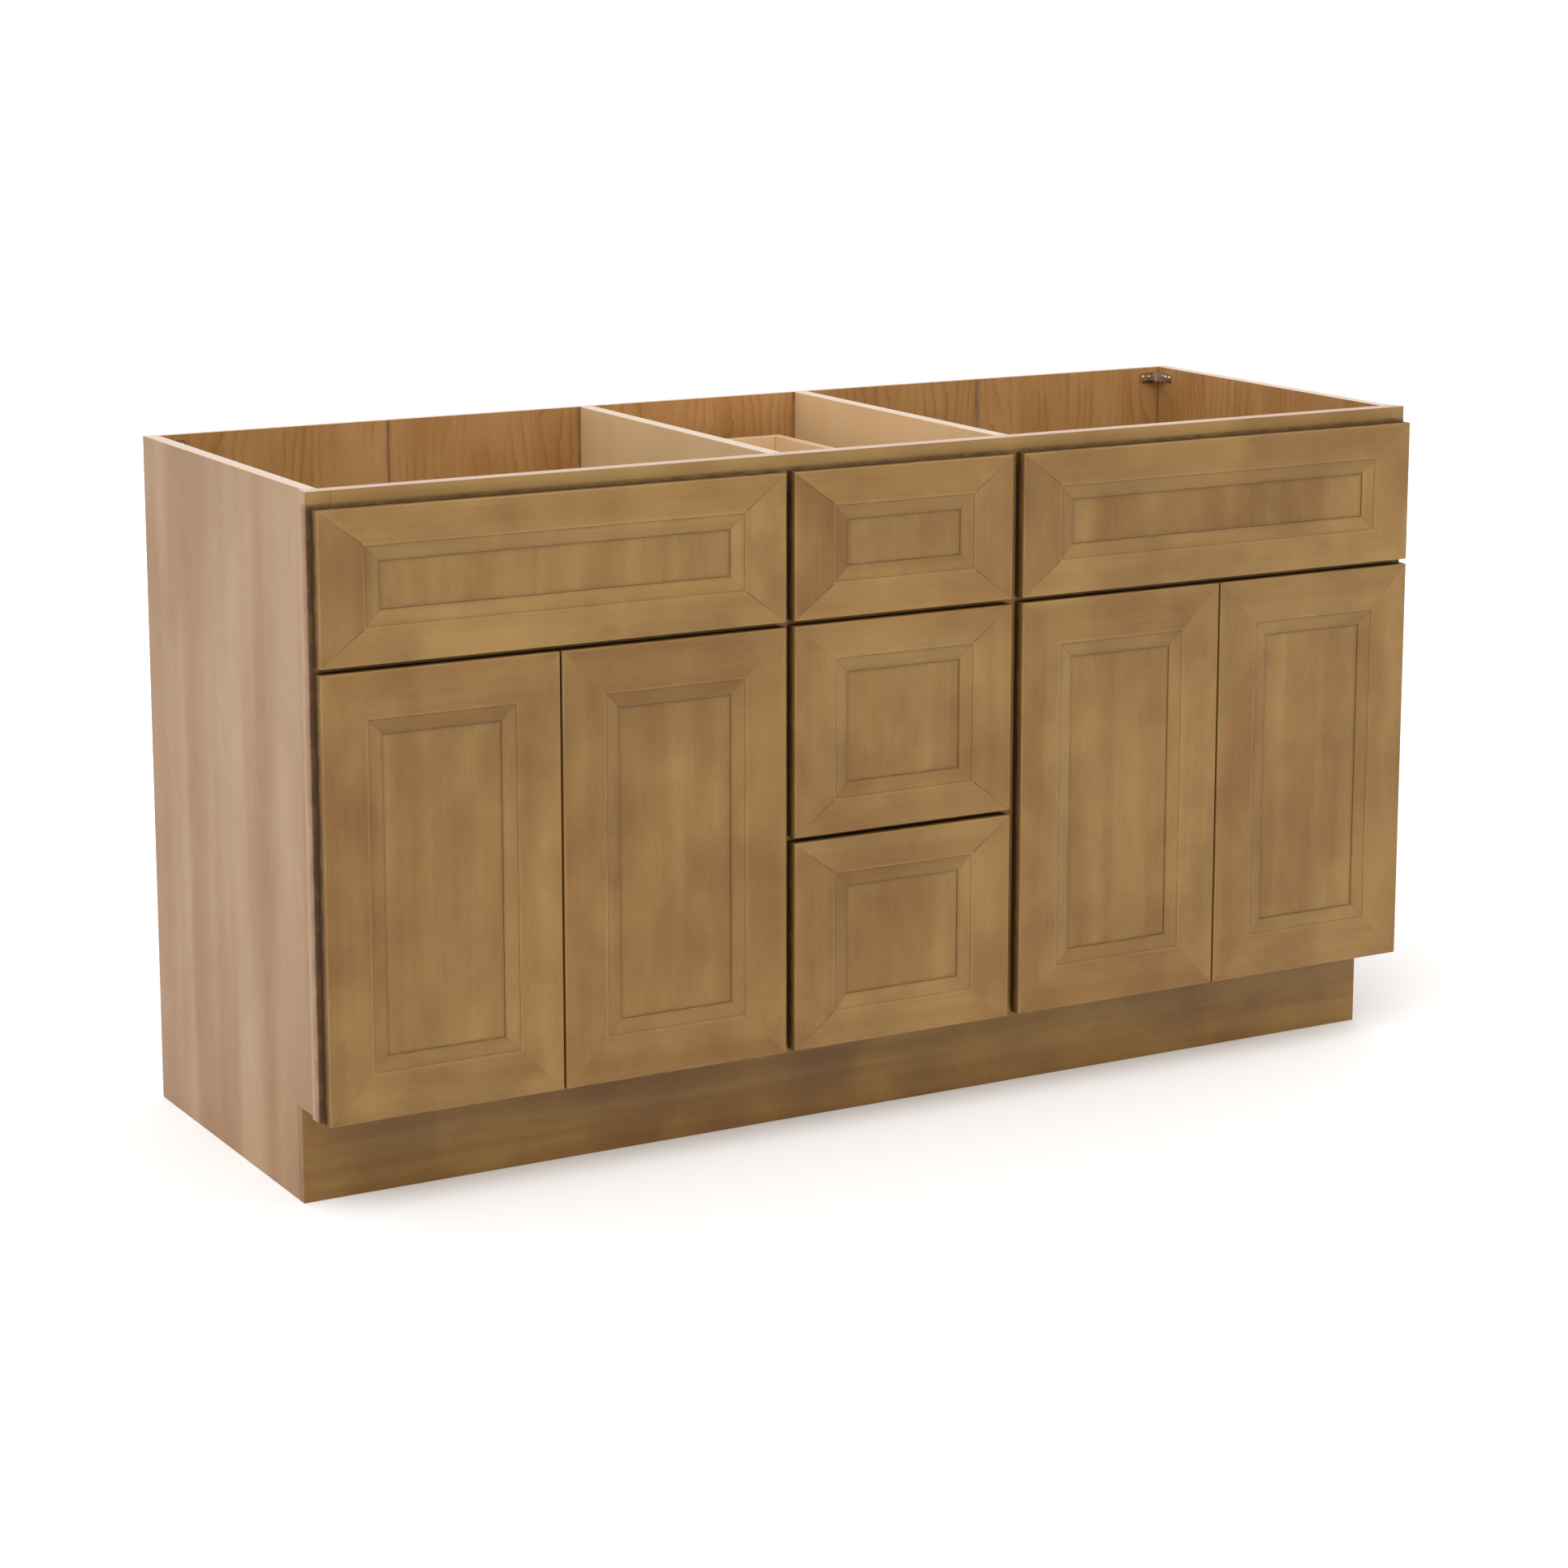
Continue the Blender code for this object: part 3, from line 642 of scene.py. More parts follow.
def moulded_plastic(name, colour, roughness, clear=0.0):
    """Nylon or soft vinyl with a faintly pebbled skin."""
    material, tree, shader = new_material(name)
    place = tree.nodes.new("ShaderNodeTexCoord").outputs["Object"]
    pebble = noise(tree, stretch(tree, place, 1500.0, 1500.0, 1500.0), 2.0)
    cloud = spread(tree, noise(tree, stretch(tree, place, 220.0, 220.0, 220.0), 3.0), 0.3, 0.7)
    shade = tuple(part * 0.82 for part in colour[:3]) + (1.0,)
    tree.links.new(tint(tree, cloud, colour, shade), shader.inputs["Base Color"])
    rough = sums(tree, "MULTIPLY_ADD", pebble, 0.2, roughness - 0.1)
    tree.links.new(rough, shader.inputs["Roughness"])
    shader.inputs["Transmission Weight"].default_value = clear
    raise_bump(tree, shader, pebble, 0.00008, 0.4)
    return material


FRONT_FINISH = wood_finish(
    "front_finish",
    dark=shown(120, 87, 36),
    light=shown(179, 144, 90),
    warm=shown(154, 105, 58),
    glaze=(0.075, 0.037, 0.012, 1.0),
    highlight=shown(188, 154, 104),
    cloud=0.10,
    band=0.040,
    band_depth=0.13,
)
# the fronts' outer edges: a darker, duller copy of the front finish that lays painted shade where they face
# the gaps
SHADED_RIM_FINISH = wood_finish(
    "front_rim_finish",
    dark=shown(122, 88, 48, RIM_SHEEN),
    light=shown(164, 128, 80, RIM_SHEEN),
    warm=shown(140, 100, 58, RIM_SHEEN),
    glaze=(0.048, 0.024, 0.009, 1.0),
    highlight=shown(160, 126, 80, RIM_SHEEN),
    coat=0.0,
    specular=0.12,
    gloss=0.6,
    glaze_strength=0.85,
)
SIDE_FINISH = wood_finish(
    "side_finish",
    dark=shown(150, 114, 78, SIDE_SHEEN),
    light=shown(196, 162, 126, SIDE_SHEEN),
    warm=shown(176, 130, 94, SIDE_SHEEN),
    glaze=shown(120, 84, 58, SIDE_SHEEN),
    highlight=shown(216, 190, 168, SIDE_SHEEN),
    cloud=0.34,
    band=0.075,
    waviness=0.12,
    band_depth=0.50,
    cloud_depth=0.26,
    streak_depth=0.05,
    fibre_depth=0.06,
    warmth=0.30,
)
BACK_FINISH = wood_finish(
    "back_finish",
    dark=shown(158, 110, 60, INSIDE_SHEEN),
    light=shown(222, 174, 120, INSIDE_SHEEN),
    warm=shown(190, 124, 72, INSIDE_SHEEN),
    glaze=(0.085, 0.034, 0.012, 1.0),
    highlight=shown(200, 160, 118, INSIDE_SHEEN),
    cloud=0.20,
    band=0.06,
    waviness=1.2,
    band_depth=0.12,
    cloud_depth=0.30,
    ring=0.015,
    ring_depth=0.34,
    warmth=0.10,
    glaze_strength=0.75,
    coat=0.03,
    specular=0.15,
)
MAPLE_FINISH = wood_finish(
    "clear_maple_finish",
    dark=shown(214, 174, 126, INSIDE_SHEEN),
    light=shown(252, 220, 172, INSIDE_SHEEN),
    warm=shown(242, 194, 142, INSIDE_SHEEN),
    glaze=shown(150, 104, 66, INSIDE_SHEEN),
    highlight=shown(236, 214, 186, INSIDE_SHEEN),
    cloud=0.16,
    band=0.05,
    waviness=0.8,
    cloud_depth=0.18,
    band_depth=0.07,
    ring=0.03,
    ring_depth=0.03,
    warmth=0.2,
)
TOE_FINISH = wood_finish(
    "toe_finish",
    dark=shown(106, 76, 30),
    light=shown(174, 138, 80),
    warm=shown(150, 104, 50),
    glaze=shown(70, 42, 18),
    highlight=shown(176, 142, 98),
    cloud=0.2,
    band=0.02,
)
PLY_EDGE = sawn_ply(
    "ply_edge",
    pale=rgb(214, 198, 184),
    cross=rgb(200, 181, 162),
    glue=rgb(160, 130, 106),
)
# paler finish for the frame's top faces: a painted highlight from the light above
FRAME_TOP_HIGHLIGHT = wood_finish(
    "frame_top_painted_highlight",
    dark=shown(196, 160, 138),
    light=shown(224, 190, 170),
    warm=shown(214, 166, 154),
    glaze=shown(120, 84, 58),
    highlight=shown(226, 196, 176),
    cloud=0.12,
)
ZINC = plated_metal(
    "zinc_plated_steel",
    bright=(0.70, 0.69, 0.66, 1.0),
    dull=(0.58, 0.57, 0.55, 1.0),
    roughness=0.36,
)
NICKEL = plated_metal(
    "nickel_plated_steel",
    bright=(0.80, 0.71, 0.61, 1.0),
    dull=(0.66, 0.56, 0.46, 1.0),
    roughness=0.22,
)
NYLON = moulded_plastic("white_nylon", (0.80, 0.79, 0.75, 1.0), roughness=0.45)
VINYL = moulded_plastic("clear_vinyl", (0.86, 0.87, 0.85, 1.0), roughness=0.25, clear=0.6)


# Mesh work


def chance(name):
    """The same run of chance for a piece, each time it is made."""
    return random.Random("vanity " + name)


def start_board():
    """An empty mesh whose vertices can hold a board's marks."""
    bm = bmesh.new()
    bm.verts.layers.float_vector.new("grain_place")
    for mark in BOARD_MARKS:
        bm.verts.layers.float.new(mark)
    return bm


def mark_grain(bm, name, along, through, tone=0.0, glaze=None, edge_highlight=None):
    """Writes on each vertex its place along, across and through the board."""
    across = 3 - along - through
    draw = chance(name)
    start = Vector([draw.uniform(1.0, 40.0) for _ in range(3)])
    place = bm.verts.layers.float_vector["grain_place"]
    depth, shade, dark, pale = (bm.verts.layers.float[mark] for mark in BOARD_MARKS)
    low = min(vert.co[through] for vert in bm.verts)
    for vert in bm.verts:
        at = vert.co
        vert[place] = start + Vector((at[along], at[across], at[through]))
        vert[depth] = at[through] - low
        vert[shade] = tone
        vert[dark] = glaze(vert) if glaze else 0.0
        vert[pale] = edge_highlight(vert) if edge_highlight else 0.0


def finish_piece(name, bm, materials, body, stands_for=(), smooth=False):
    """Turns a worked mesh into a named piece that rides on its body."""
    mesh = bpy.data.meshes.new(name)
    bmesh.ops.recalc_face_normals(bm, faces=bm.faces)
    bm.to_mesh(mesh)
    bm.free()
    for material in materials:
        mesh.materials.append(material)
    if smooth:
        mesh.shade_smooth()
        mesh.set_sharp_from_angle(angle=math.radians(35))
    obj = bpy.data.objects.new(name, mesh)
    bpy.context.scene.collection.objects.link(obj)
    if body:
        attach(obj, body)
    if stands_for:
        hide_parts(*stands_for)
    return obj


def make_board(
    name,
    low,
    high,
    along,
    materials,
    body,
    stands_for=(),
    tone=0.0,
    arris=ARRIS,
    pick=None,
    cuts=(),
    glaze=None,
):
    """A squared board with rounded arrises.

    The first material is the faces' and the second the sawn edges'.  Pick may
    choose another by a face's outward direction.  Cuts are (axis, place) lines
    scored across the board, so that glaze and painted shade may change there.
    """
    low, high = Vector(low), Vector(high)
    size = high - low
    through = min(range(3), key=lambda axis: size[axis])
    bm = start_board()
    middle = Matrix.Translation((low + high) / 2)
    bmesh.ops.create_cube(bm, size=1.0, matrix=middle @ Matrix.Diagonal((*size, 1.0)))
    round_edges(bm, arris)
    for axis, place in cuts:
        if low[axis] + arris < place < high[axis] - arris:
            normal = Vector([float(index == axis) for index in range(3)])
            parts = bm.verts[:] + bm.edges[:] + bm.faces[:]
            bmesh.ops.bisect_plane(bm, geom=parts, plane_co=normal * place, plane_no=normal)

    def on_arris(vert):
        flush = [
            min(abs(vert.co[axis] - low[axis]), abs(vert.co[axis] - high[axis])) < 1e-6
            for axis in range(3)
        ]
        return 0.0 if any(flush) else 1.0

    # without glaze, a board's rounded arrises get a painted highlight
    edge_highlight = None if glaze else on_arris
    mark_grain(bm, name, along, through, tone, glaze=glaze, edge_highlight=edge_highlight)
    choose_materials(bm, through, len(materials), pick)
    return finish_piece(name, bm, materials, body, stands_for)


def round_edges(bm, radius, segments=3):
    bmesh.ops.bevel(
        bm, geom=bm.edges[:], offset=radius, segments=segments, profile=0.5, affect="EDGES"
    )


def choose_materials(bm, through, count, pick=None):
    bm.normal_update()
    for face in bm.faces:
        if pick is not None:
            face.material_index = pick(face.normal)
        elif count > 1:
            face.material_index = 0 if abs(face.normal[through]) > 0.7 else 1


def arc(centre, start, turn, radius, steps):
    """Points of a round stretch, from a start angle through a turn, in degrees."""
    return [
        (
            centre[0] + radius * math.cos(math.radians(start + turn * step / steps)),
            centre[1] + radius * math.sin(math.radians(start + turn * step / steps)),
        )
        for step in range(steps + 1)
    ]


def moulding_section(thickness, panel_setback):
    """The section of a front's frame as (share of the width, more, height, glaze and painted shade, painted
    highlight, mitre).
    """
    face = thickness
    bevel_top = face - QUIRK
    bevel_end = bevel_top - BEVEL_DROP
    panel_face = face - panel_setback
    points = [(0.0, BACK_EASE, 0.0, 0.0, 0.0, 0.0)]
    # painted shade up the outer edge, darkest at the back
    for share, glaze in EDGE_SHADE:
        points.append((0.0, 0.0, BACK_EASE + face * share, glaze, 0.0, 0.0))
    turn_centre = (FRONT_ARRIS, face - FRONT_ARRIS)
    # the rounded arris: a painted highlight across it, and the last of the edge's painted shade
    for more, height in arc(turn_centre, 180, -90, FRONT_ARRIS, ARC_STEPS):
        highlight = math.sin(math.pi * more / FRONT_ARRIS) if more < FRONT_ARRIS else 0.0
        glaze = 0.2 - 0.2 * min(1.0, more / FRONT_ARRIS)
        points.append((0.0, more, height, glaze, highlight, 0.0))
    # a painted highlight on the lip beside the quirk, then dark glaze down into the quirk
    points += [
        (1.0, -LIP - 0.0030, face, 0.0, 0.0, 0.0),
        (1.0, -LIP, face, 0.0, 0.7, 0.0),
        (1.0, -LIP * 0.3, face - LIP * 0.3, 0.1, 0.8, 0.3),
        (1.0, 0.0, face - LIP, 0.45, 0.0, 0.6),
        (1.0, 0.0, bevel_top, 0.75, 0.0, 0.6),
    ]
    for run, glaze in BEVEL_GLAZE_AND_SHADE:
        points.append((1.0, run, bevel_top - BEVEL_DROP * run / BEVEL_WIDTH, glaze, 0.0, 0.6))
    # the step down to the panel and its rabbet: dark glaze with painted shadow
    points += [
        (1.0, BEVEL_WIDTH, bevel_end, 0.9, 0.0, 0.8),
        (1.0, BEVEL_WIDTH, panel_face + PANEL_EASE, 1.0, 0.0, 1.0),
        (1.0, BEVEL_WIDTH - PANEL_REST, panel_face + PANEL_EASE, 1.0, 0.0, 1.0),
        (1.0, BEVEL_WIDTH - PANEL_REST, 0.0, 0.0, 0.0, 0.0),
    ]
    return points


def make_member(
    name, half_x, half_z, widths, section, side, back_y, centre, body, tone, stands_for
):
    """One mitred member of a front's frame.

    Side is (x, z), with a 1 or -1 for the side it lies on.
    """
    upright = side[0] != 0
    widths_x, widths_z = widths
    bm = start_board()
    marks = {}
    rings = []
    stations = ((-1, 0.0), (-1, MITRE_FADE), (1, MITRE_FADE), (1, 0.0))
    for end, back_off in stations:
        ring = []
        for share, more, height, glaze, highlight, joint in section:
            reach_x = half_x - share * widths_x - more
            reach_z = half_z - share * widths_z - more
            pull = MITRE_GAP + back_off
            if upright:
                place = (side[0] * reach_x, end * (reach_z - pull))
            else:
                place = (end * (reach_x - pull), side[1] * reach_z)
            vert = bm.verts.new((centre[0] + place[0], back_y - height, centre[1] + place[1]))
            mitre = joint if back_off == 0.0 else 0.0
            # painted shade on the rails' bevels and beyond them
            shade = BEVEL_SHADE.get(side, 0.0) if share and more > 0.0 else 0.0
            marks[vert] = (max(glaze + shade, mitre), highlight)
            ring.append(vert)
        rings.append(ring)
    count = len(section)
    for first, second in zip(rings, rings[1:]):
        for index in range(count):
            after = (index + 1) % count
            face = bm.faces.new((first[index], first[after], second[after], second[index]))
            # the outer edge faces take the darker rim finish, as painted shade
            face.material_index = 1 if 0 < index <= len(EDGE_SHADE) else 0
    bm.faces.new(rings[0])
    bm.faces.new(rings[-1][::-1])
    along = Z if upright else X
    mark_grain(
        bm,
        name,
        along,
        Y,
        tone,
        glaze=lambda vert: marks[vert][0],
        edge_highlight=lambda vert: marks[vert][1],
    )
    return finish_piece(name, bm, [FRONT_FINISH, SHADED_RIM_FINISH], body, stands_for)


def make_flat_panel(
    name, sight_x, sight_z, face_y, thickness, centre, body, tone, stands_for
):
    """The flat panel in a front's frame, darker where it meets the moulding: a glaze line there, and painted
    shadow fading out across the panel.
    """
    bm = start_board()
    marks = {}
    loops = []
    # a glaze line at the panel's edge, then painted shadow fading across the panel
    for inset, level, glaze in (
        (-PANEL_TUCK, thickness, 0.0),
        (-PANEL_TUCK, 0.0, 0.0),
        (0.0, 0.0, 1.0),
        (GLAZE_WIDTH * 0.5, 0.0, 0.75),
        (GLAZE_WIDTH, 0.0, 0.28),
        (GLAZE_AND_SHADOW_FADE, 0.0, 0.0),
    ):
        loop = []
        for side_x, side_z in ((1, 1), (-1, 1), (-1, -1), (1, -1)):
            vert = bm.verts.new(
                (
                    centre[0] + side_x * (sight_x - inset),
                    face_y + level,
                    centre[1] + side_z * (sight_z - inset),
                )
            )
            marks[vert] = glaze
            loop.append(vert)
        loops.append(loop)
    for first, second in zip(loops, loops[1:]):
        for index in range(4):
            after = (index + 1) % 4
            bm.faces.new((first[index], first[after], second[after], second[index]))
    bm.faces.new(loops[0])
    bm.faces.new(loops[-1])
    mark_grain(bm, name, Z, Y, tone, glaze=lambda vert: marks[vert])
    return finish_piece(name, bm, [FRONT_FINISH], body, stands_for)


def make_front(node, body, cross, tones):
    """A whole door, drawer or false front from its CAD frame and panel."""
    frame_node, panel_node = node + "_frame", node + "_panel"
    low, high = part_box(frame_node)
    panel_low, panel_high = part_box(panel_node)
    centre = ((low.x + high.x) / 2, (low.z + high.z) / 2)
    half_x, half_z = (high.x - low.x) / 2, (high.z - low.z) / 2
    section = moulding_section(high.y - low.y, panel_low.y - low.y)
    for label, side, tone in (
        ("stile_left", (-1, 0), tones[0]),
        ("stile_right", (1, 0), tones[1]),
        ("rail_top", (0, 1), tones[2]),
        ("rail_bottom", (0, -1), tones[2]),
    ):
        name = f"{node}_{label}"
        wander = chance(name).uniform(-0.02, 0.02)
        make_member(
            name,
            half_x,
            half_z,
            (MEMBER_WIDTH, cross),
            section,
            side,
            high.y,
            centre,
            body,
            tone + wander,
            (frame_node,),
        )
    make_flat_panel(
        node + "_panel_board",
        half_x - MEMBER_WIDTH - BEVEL_WIDTH,
        half_z - cross - BEVEL_WIDTH,
        panel_low.y,
        panel_high.y - panel_low.y,
        centre,
        body,
        tones[3],
        (panel_node,),
    )


def make_side_panel(node, side):
    """An end panel, with the toe notch in its lower front corner."""
    low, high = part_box(node)
    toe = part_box("toe_kick_board")[1]
    notch_y, notch_z = toe.y + FIT, toe.z + FIT
    outline = [
        (high.y, 0.0),
        (high.y, high.z),
        (low.y, high.z),
        (low.y, notch_z),
        (notch_y, notch_z),
        (notch_y, 0.0),
    ]
    bm = start_board()
    face = bm.faces.new([bm.verts.new((low.x, y, z)) for y, z in outline])
    pushed = bmesh.ops.extrude_face_region(bm, geom=[face])["geom"]
    moved = [item for item in pushed if isinstance(item, bmesh.types.BMVert)]
    bmesh.ops.translate(bm, vec=(high.x - low.x, 0.0, 0.0), verts=moved)
    bmesh.ops.recalc_face_normals(bm, faces=bm.faces)
    round_edges(bm, ARRIS)
    mark_grain(bm, node + "_sheet", Z, X)

    def pick(normal):
        if normal.x * side > 0.7:
            return 0
        return 1 if normal.x * side < -0.7 else 2

    choose_materials(bm, X, 3, pick)
    materials = [SIDE_FINISH, BACK_FINISH, PLY_EDGE]
    return finish_piece(node + "_sheet", bm, materials, "root", (node,))


def make_back():
    """Three sheets, with dark glaze in the seams and, inside, painted shade in the corners of the bays."""
    nodes = ("back_panel_left", "back_panel_center", "back_panel_right")
    boxes = [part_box(node) for node in nodes]
    seams = [(first[1].x + second[0].x) / 2 for first, second in zip(boxes, boxes[1:])]
    corners = [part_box("left_side_panel")[1].x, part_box("right_side_panel")[0].x]
    for node in ("left_partition", "right_partition"):
        corners += [side.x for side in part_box(node)]

    outer_face = boxes[0][1].y - 0.001

    def seam_glaze_and_corner_shade(vert):
        seam = min(abs(vert.co.x - line) for line in seams)
        corner = min(abs(vert.co.x - line) for line in corners)
        if vert.co.y > outer_face:
            return max(0.0, 0.5 - seam / 0.0020)
        # inside: glaze in the seams, and painted shade beside the bays' inside corners
        return max(1.5 - seam / 0.0020, 1.1 - corner / 0.0044, 0.0)

    cuts = [(X, line + step) for line in seams for step in (-0.0030, -0.0014, 0.0014, 0.0030)]
    cuts += [(X, line + step) for line in corners for step in (-0.0048, -0.0020, 0.0020, 0.0048)]
    for node, (low, high) in zip(nodes, boxes):
        make_board(
            node + "_sheet",
            low,
            high,
            Z,
            [BACK_FINISH, PLY_EDGE],
            "root",
            (node,),
            cuts=cuts,
            glaze=seam_glaze_and_corner_shade,
        )
    for place, line in zip(("left", "right"), seams):
        low, high = boxes[1]
        make_board(
            f"back_seam_tongue_{place}",
            (line - 0.004, low.y + 0.0028, low.z + 0.001),
            (line + 0.004, low.y + 0.0056, high.z - 0.001),
            Z,
            [BACK_FINISH],
            "root",
            glaze=lambda vert: 1.6,
        )


def make_carcass():
    def sheet(name, node, along, materials):
        low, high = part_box(node)
        make_board(name, low, high, along, materials, "root", (node,))

    plywood = [MAPLE_FINISH, PLY_EDGE]
    make_side_panel("left_side_panel", -1)
    make_side_panel("right_side_panel", 1)
    for node in ("left_partition", "right_partition"):
        sheet(node + "_sheet", node, Z, plywood)
    make_back()
    sheet("bottom_panel_sheet", "bottom_panel", X, plywood)
    sheet("toe_kick_facing", "toe_kick_board", X, [TOE_FINISH, TOE_FINISH])


def make_face_frame():
    """Stiles, mullions and rails.

    The tops of the boards at the top take a paler finish, a painted highlight from the light above; the
    stiles' side faces take the side panels' paler finish, a painted highlight from the side.
    """

    def pick_stile(normal):
        if normal.z > 0.7:
            return 1
        # side faces take the side panels' paler finish: painted highlight
        return 2 if abs(normal.x) > 0.7 else 0

    def pick_rail(normal):
        return 1 if normal.z > 0.7 else 0

    front_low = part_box("door_far_left_frame")[0]
    front_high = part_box("false_front_right_frame")[1]

    def painted_shade_beside_fronts(vert):
        """Painted shade on the frame close around the fronts: thick down their sides, thin along their tops.
        """
        if vert.co.y > FRAME_FACE + 0.0015:
            return 0.0
        beside = max(vert.co.x - front_high.x, front_low.x - vert.co.x)
        above = vert.co.z - front_high.z
        outside = max(beside, above)
        hidden = (outside + 0.0032) / 0.0020
        if above > beside:
            return max(0.0, min(2.0, (0.0056 - above) / 0.0026, hidden))
        return max(0.0, min(2.2, (0.0080 - beside) / 0.0026, 2 * hidden))

    steps = (-0.0032, -0.0012, 0.0016, 0.0056)
    cuts = [(X, front_high.x + step) for step in steps]
    cuts += [(X, front_low.x - step) for step in steps]
    cuts += [(Z, front_high.z + step) for step in steps]

    for node, along in (
        ("frame_stile_left", Z),
        ("frame_stile_right", Z),
        ("frame_mullion_left", Z),
        ("frame_mullion_right", Z),
        ("frame_top_rail", X),
        ("frame_bottom_rail", X),
        ("frame_middle_rail_left", X),
        ("frame_middle_rail_right", X),
        ("drawer_rail_upper", X),
        ("drawer_rail_lower", X),
    ):
        low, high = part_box(node)
        at_top = high.z > CAD_HIGH.z - 0.001
        stile = "stile" in node
        if along == X:
            low.x -= JOINT_CLOSE
            high.x += JOINT_CLOSE
        # the tops of the top boards take the paler finish: painted highlight
        materials = [FRONT_FINISH, FRAME_TOP_HIGHLIGHT if at_top else FRONT_FINISH, SIDE_FINISH]
        make_board(
            node + "_board",
            low,
            high,
            along,
            materials,
            "root",
            (node,),
            tone=0.32 if node == "frame_top_rail" else 0.24,
            pick=(pick_stile if stile else pick_rail),
            arris=0.0003,
            cuts=cuts,
            glaze=painted_shade_beside_fronts,
        )


def make_fronts():
    for door, _ in DOORS:
        make_front(door, door, MEMBER_WIDTH, (-0.04, 0.06, -0.05, -0.01))
    for node in ("false_front_left", "false_front_right"):
        make_front(node, "root", SHORT_RAIL, (-0.18, 0.08, 0.06, -0.10))
    make_front("drawer_top_front", "drawer_top", SHORT_RAIL, (-0.14, 0.05, 0.18, 0.04))
    for node in ("drawer_middle", "drawer_bottom"):
        make_front(node + "_front", node, SHORT_RAIL, (-0.14, 0.03, -0.02, -0.04))


# Fittings


def fold(path, thickness, bend):
    """The outline of a sheet folded along a path, with its bends rounded."""
    corners = [Vector(point) for point in path]
    line = [corners[0]]
    for before, at, after in zip(corners, corners[1:], corners[2:]):
        first = at + (before - at).normalized() * bend
        last = at + (after - at).normalized() * bend
        for step in range(5):
            share = step / 4
            line.append(first.lerp(at, share).lerp(at.lerp(last, share), share))
    line.append(corners[-1])
    left, right = [], []
    for index, point in enumerate(line):
        before = line[max(index - 1, 0)]
        after = line[min(index + 1, len(line) - 1)]
        run = (after - before).normalized()
        offset = Vector((-run.y, run.x)) * thickness / 2
        left.append(point + offset)
        right.append(point - offset)
    return left + right[::-1]


def add_run(bm, outline, axis, low, high):
    """A straight run of an outline, given in the other two axes."""
    rings = []
    for level in (low, high):
        ring = []
        for first, second in outline:
            place = [first, second]
            place.insert(axis, level)
            ring.append(bm.verts.new(place))
        rings.append(ring)
    close_rings(bm, rings)


def close_rings(bm, rings):
    """Joins rings of vertices into one closed skin."""
    for first, second in zip(rings, rings[1:]):
        count = max(len(first), len(second))
        for index in range(count):
            after = (index + 1) % count
            corners = [first[index % len(first)], first[after % len(first)]]
            corners += [second[after % len(second)], second[index % len(second)]]
            bm.faces.new(dict.fromkeys(corners))
    for ring in (rings[0], rings[-1]):
        if len(ring) > 2:
            bm.faces.new(ring)


def add_block(bm, first, second, radius=0.0004):
    """A block with rounded edges."""
    low = Vector(map(min, first, second))
    high = Vector(map(max, first, second))
    middle = Matrix.Translation((low + high) / 2)
    made = bmesh.ops.create_cube(
        bm, size=1.0, matrix=middle @ Matrix.Diagonal((*(high - low), 1.0))
    )
    edges = list(dict.fromkeys(edge for vert in made["verts"] for edge in vert.link_edges))
    bmesh.ops.bevel(bm, geom=edges, offset=radius, segments=2, profile=0.5, affect="EDGES")


def facing(at, direction):
    """The placing of a turned piece whose axis runs along a direction."""
    turn = Vector(direction).to_track_quat("Z", "Y").to_matrix().to_4x4()
    return Matrix.Translation(at) @ turn


def add_turned(bm, place, outline, angles=None):
    """A turned solid from (radius, height) pairs.  A radius may be a function of the angle."""
    angles = angles or [math.tau * step / 28 for step in range(28)]
    rings = []
    for radius, height in outline:
        if radius == 0.0:
            rings.append([bm.verts.new(place @ Vector((0.0, 0.0, height)))])
            continue
        ring = []
        for angle in angles:
            reach = radius(angle) if callable(radius) else radius
            at = Vector((reach * math.cos(angle), reach * math.sin(angle), height))
            ring.append(bm.verts.new(place @ at))
        rings.append(ring)
    close_rings(bm, rings)


def add_screw(bm, at, direction, radius=0.0034, rise=0.0017):
    """A pan-head screw with a cross recess and a short shank."""
    half, arm = radius * 0.15, radius * 0.56
    turn = math.atan2(half, arm)
    between = (turn + math.pi / 4) / 2
    steps = (-turn, 0.0, turn, between, math.pi / 4, math.pi / 2 - between)
    angles = [quarter * math.pi / 2 + step for quarter in range(4) for step in steps]

    def cross(share):
        def reach(angle):
            folded = abs((angle + math.pi / 4) % (math.pi / 2) - math.pi / 4)
            edge = arm / math.cos(folded) if folded <= turn + 1e-9 else half / math.sin(folded)
            return edge * share

        return reach

    outline = [
        (0.0, -0.0030),
        (radius * 0.5, -0.0030),
        (radius * 0.5, 0.0),
        (radius * 0.97, 0.0),
        (radius, rise * 0.12),
        (radius * 0.97, rise * 0.42),
        (radius * 0.86, rise * 0.74),
        (radius * 0.72, rise * 0.92),
        (cross(1.0), rise),
        (cross(0.7), rise * 0.35),
        (0.0, rise * 0.2),
    ]
    add_turned(bm, facing(at, direction), outline, angles)


def add_wheel(bm, at, direction, radius, width):
    """A small flat-rimmed wheel with a dished face and a hub."""
    outline = [
        (0.0, 0.0),
        (radius * 0.36, 0.0),
        (radius * 0.40, width * 0.12),
        (radius * 0.78, width * 0.12),
        (radius * 0.84, 0.0),
        (radius * 0.95, 0.0),
        (radius, width * 0.10),
        (radius, width * 0.90),
        (radius * 0.95, width),
        (radius * 0.84, width),
        (radius * 0.78, width * 0.88),
        (radius * 0.40, width * 0.88),
        (radius * 0.36, width),
        (0.0, width),
    ]
    add_turned(bm, facing(at, direction), outline)


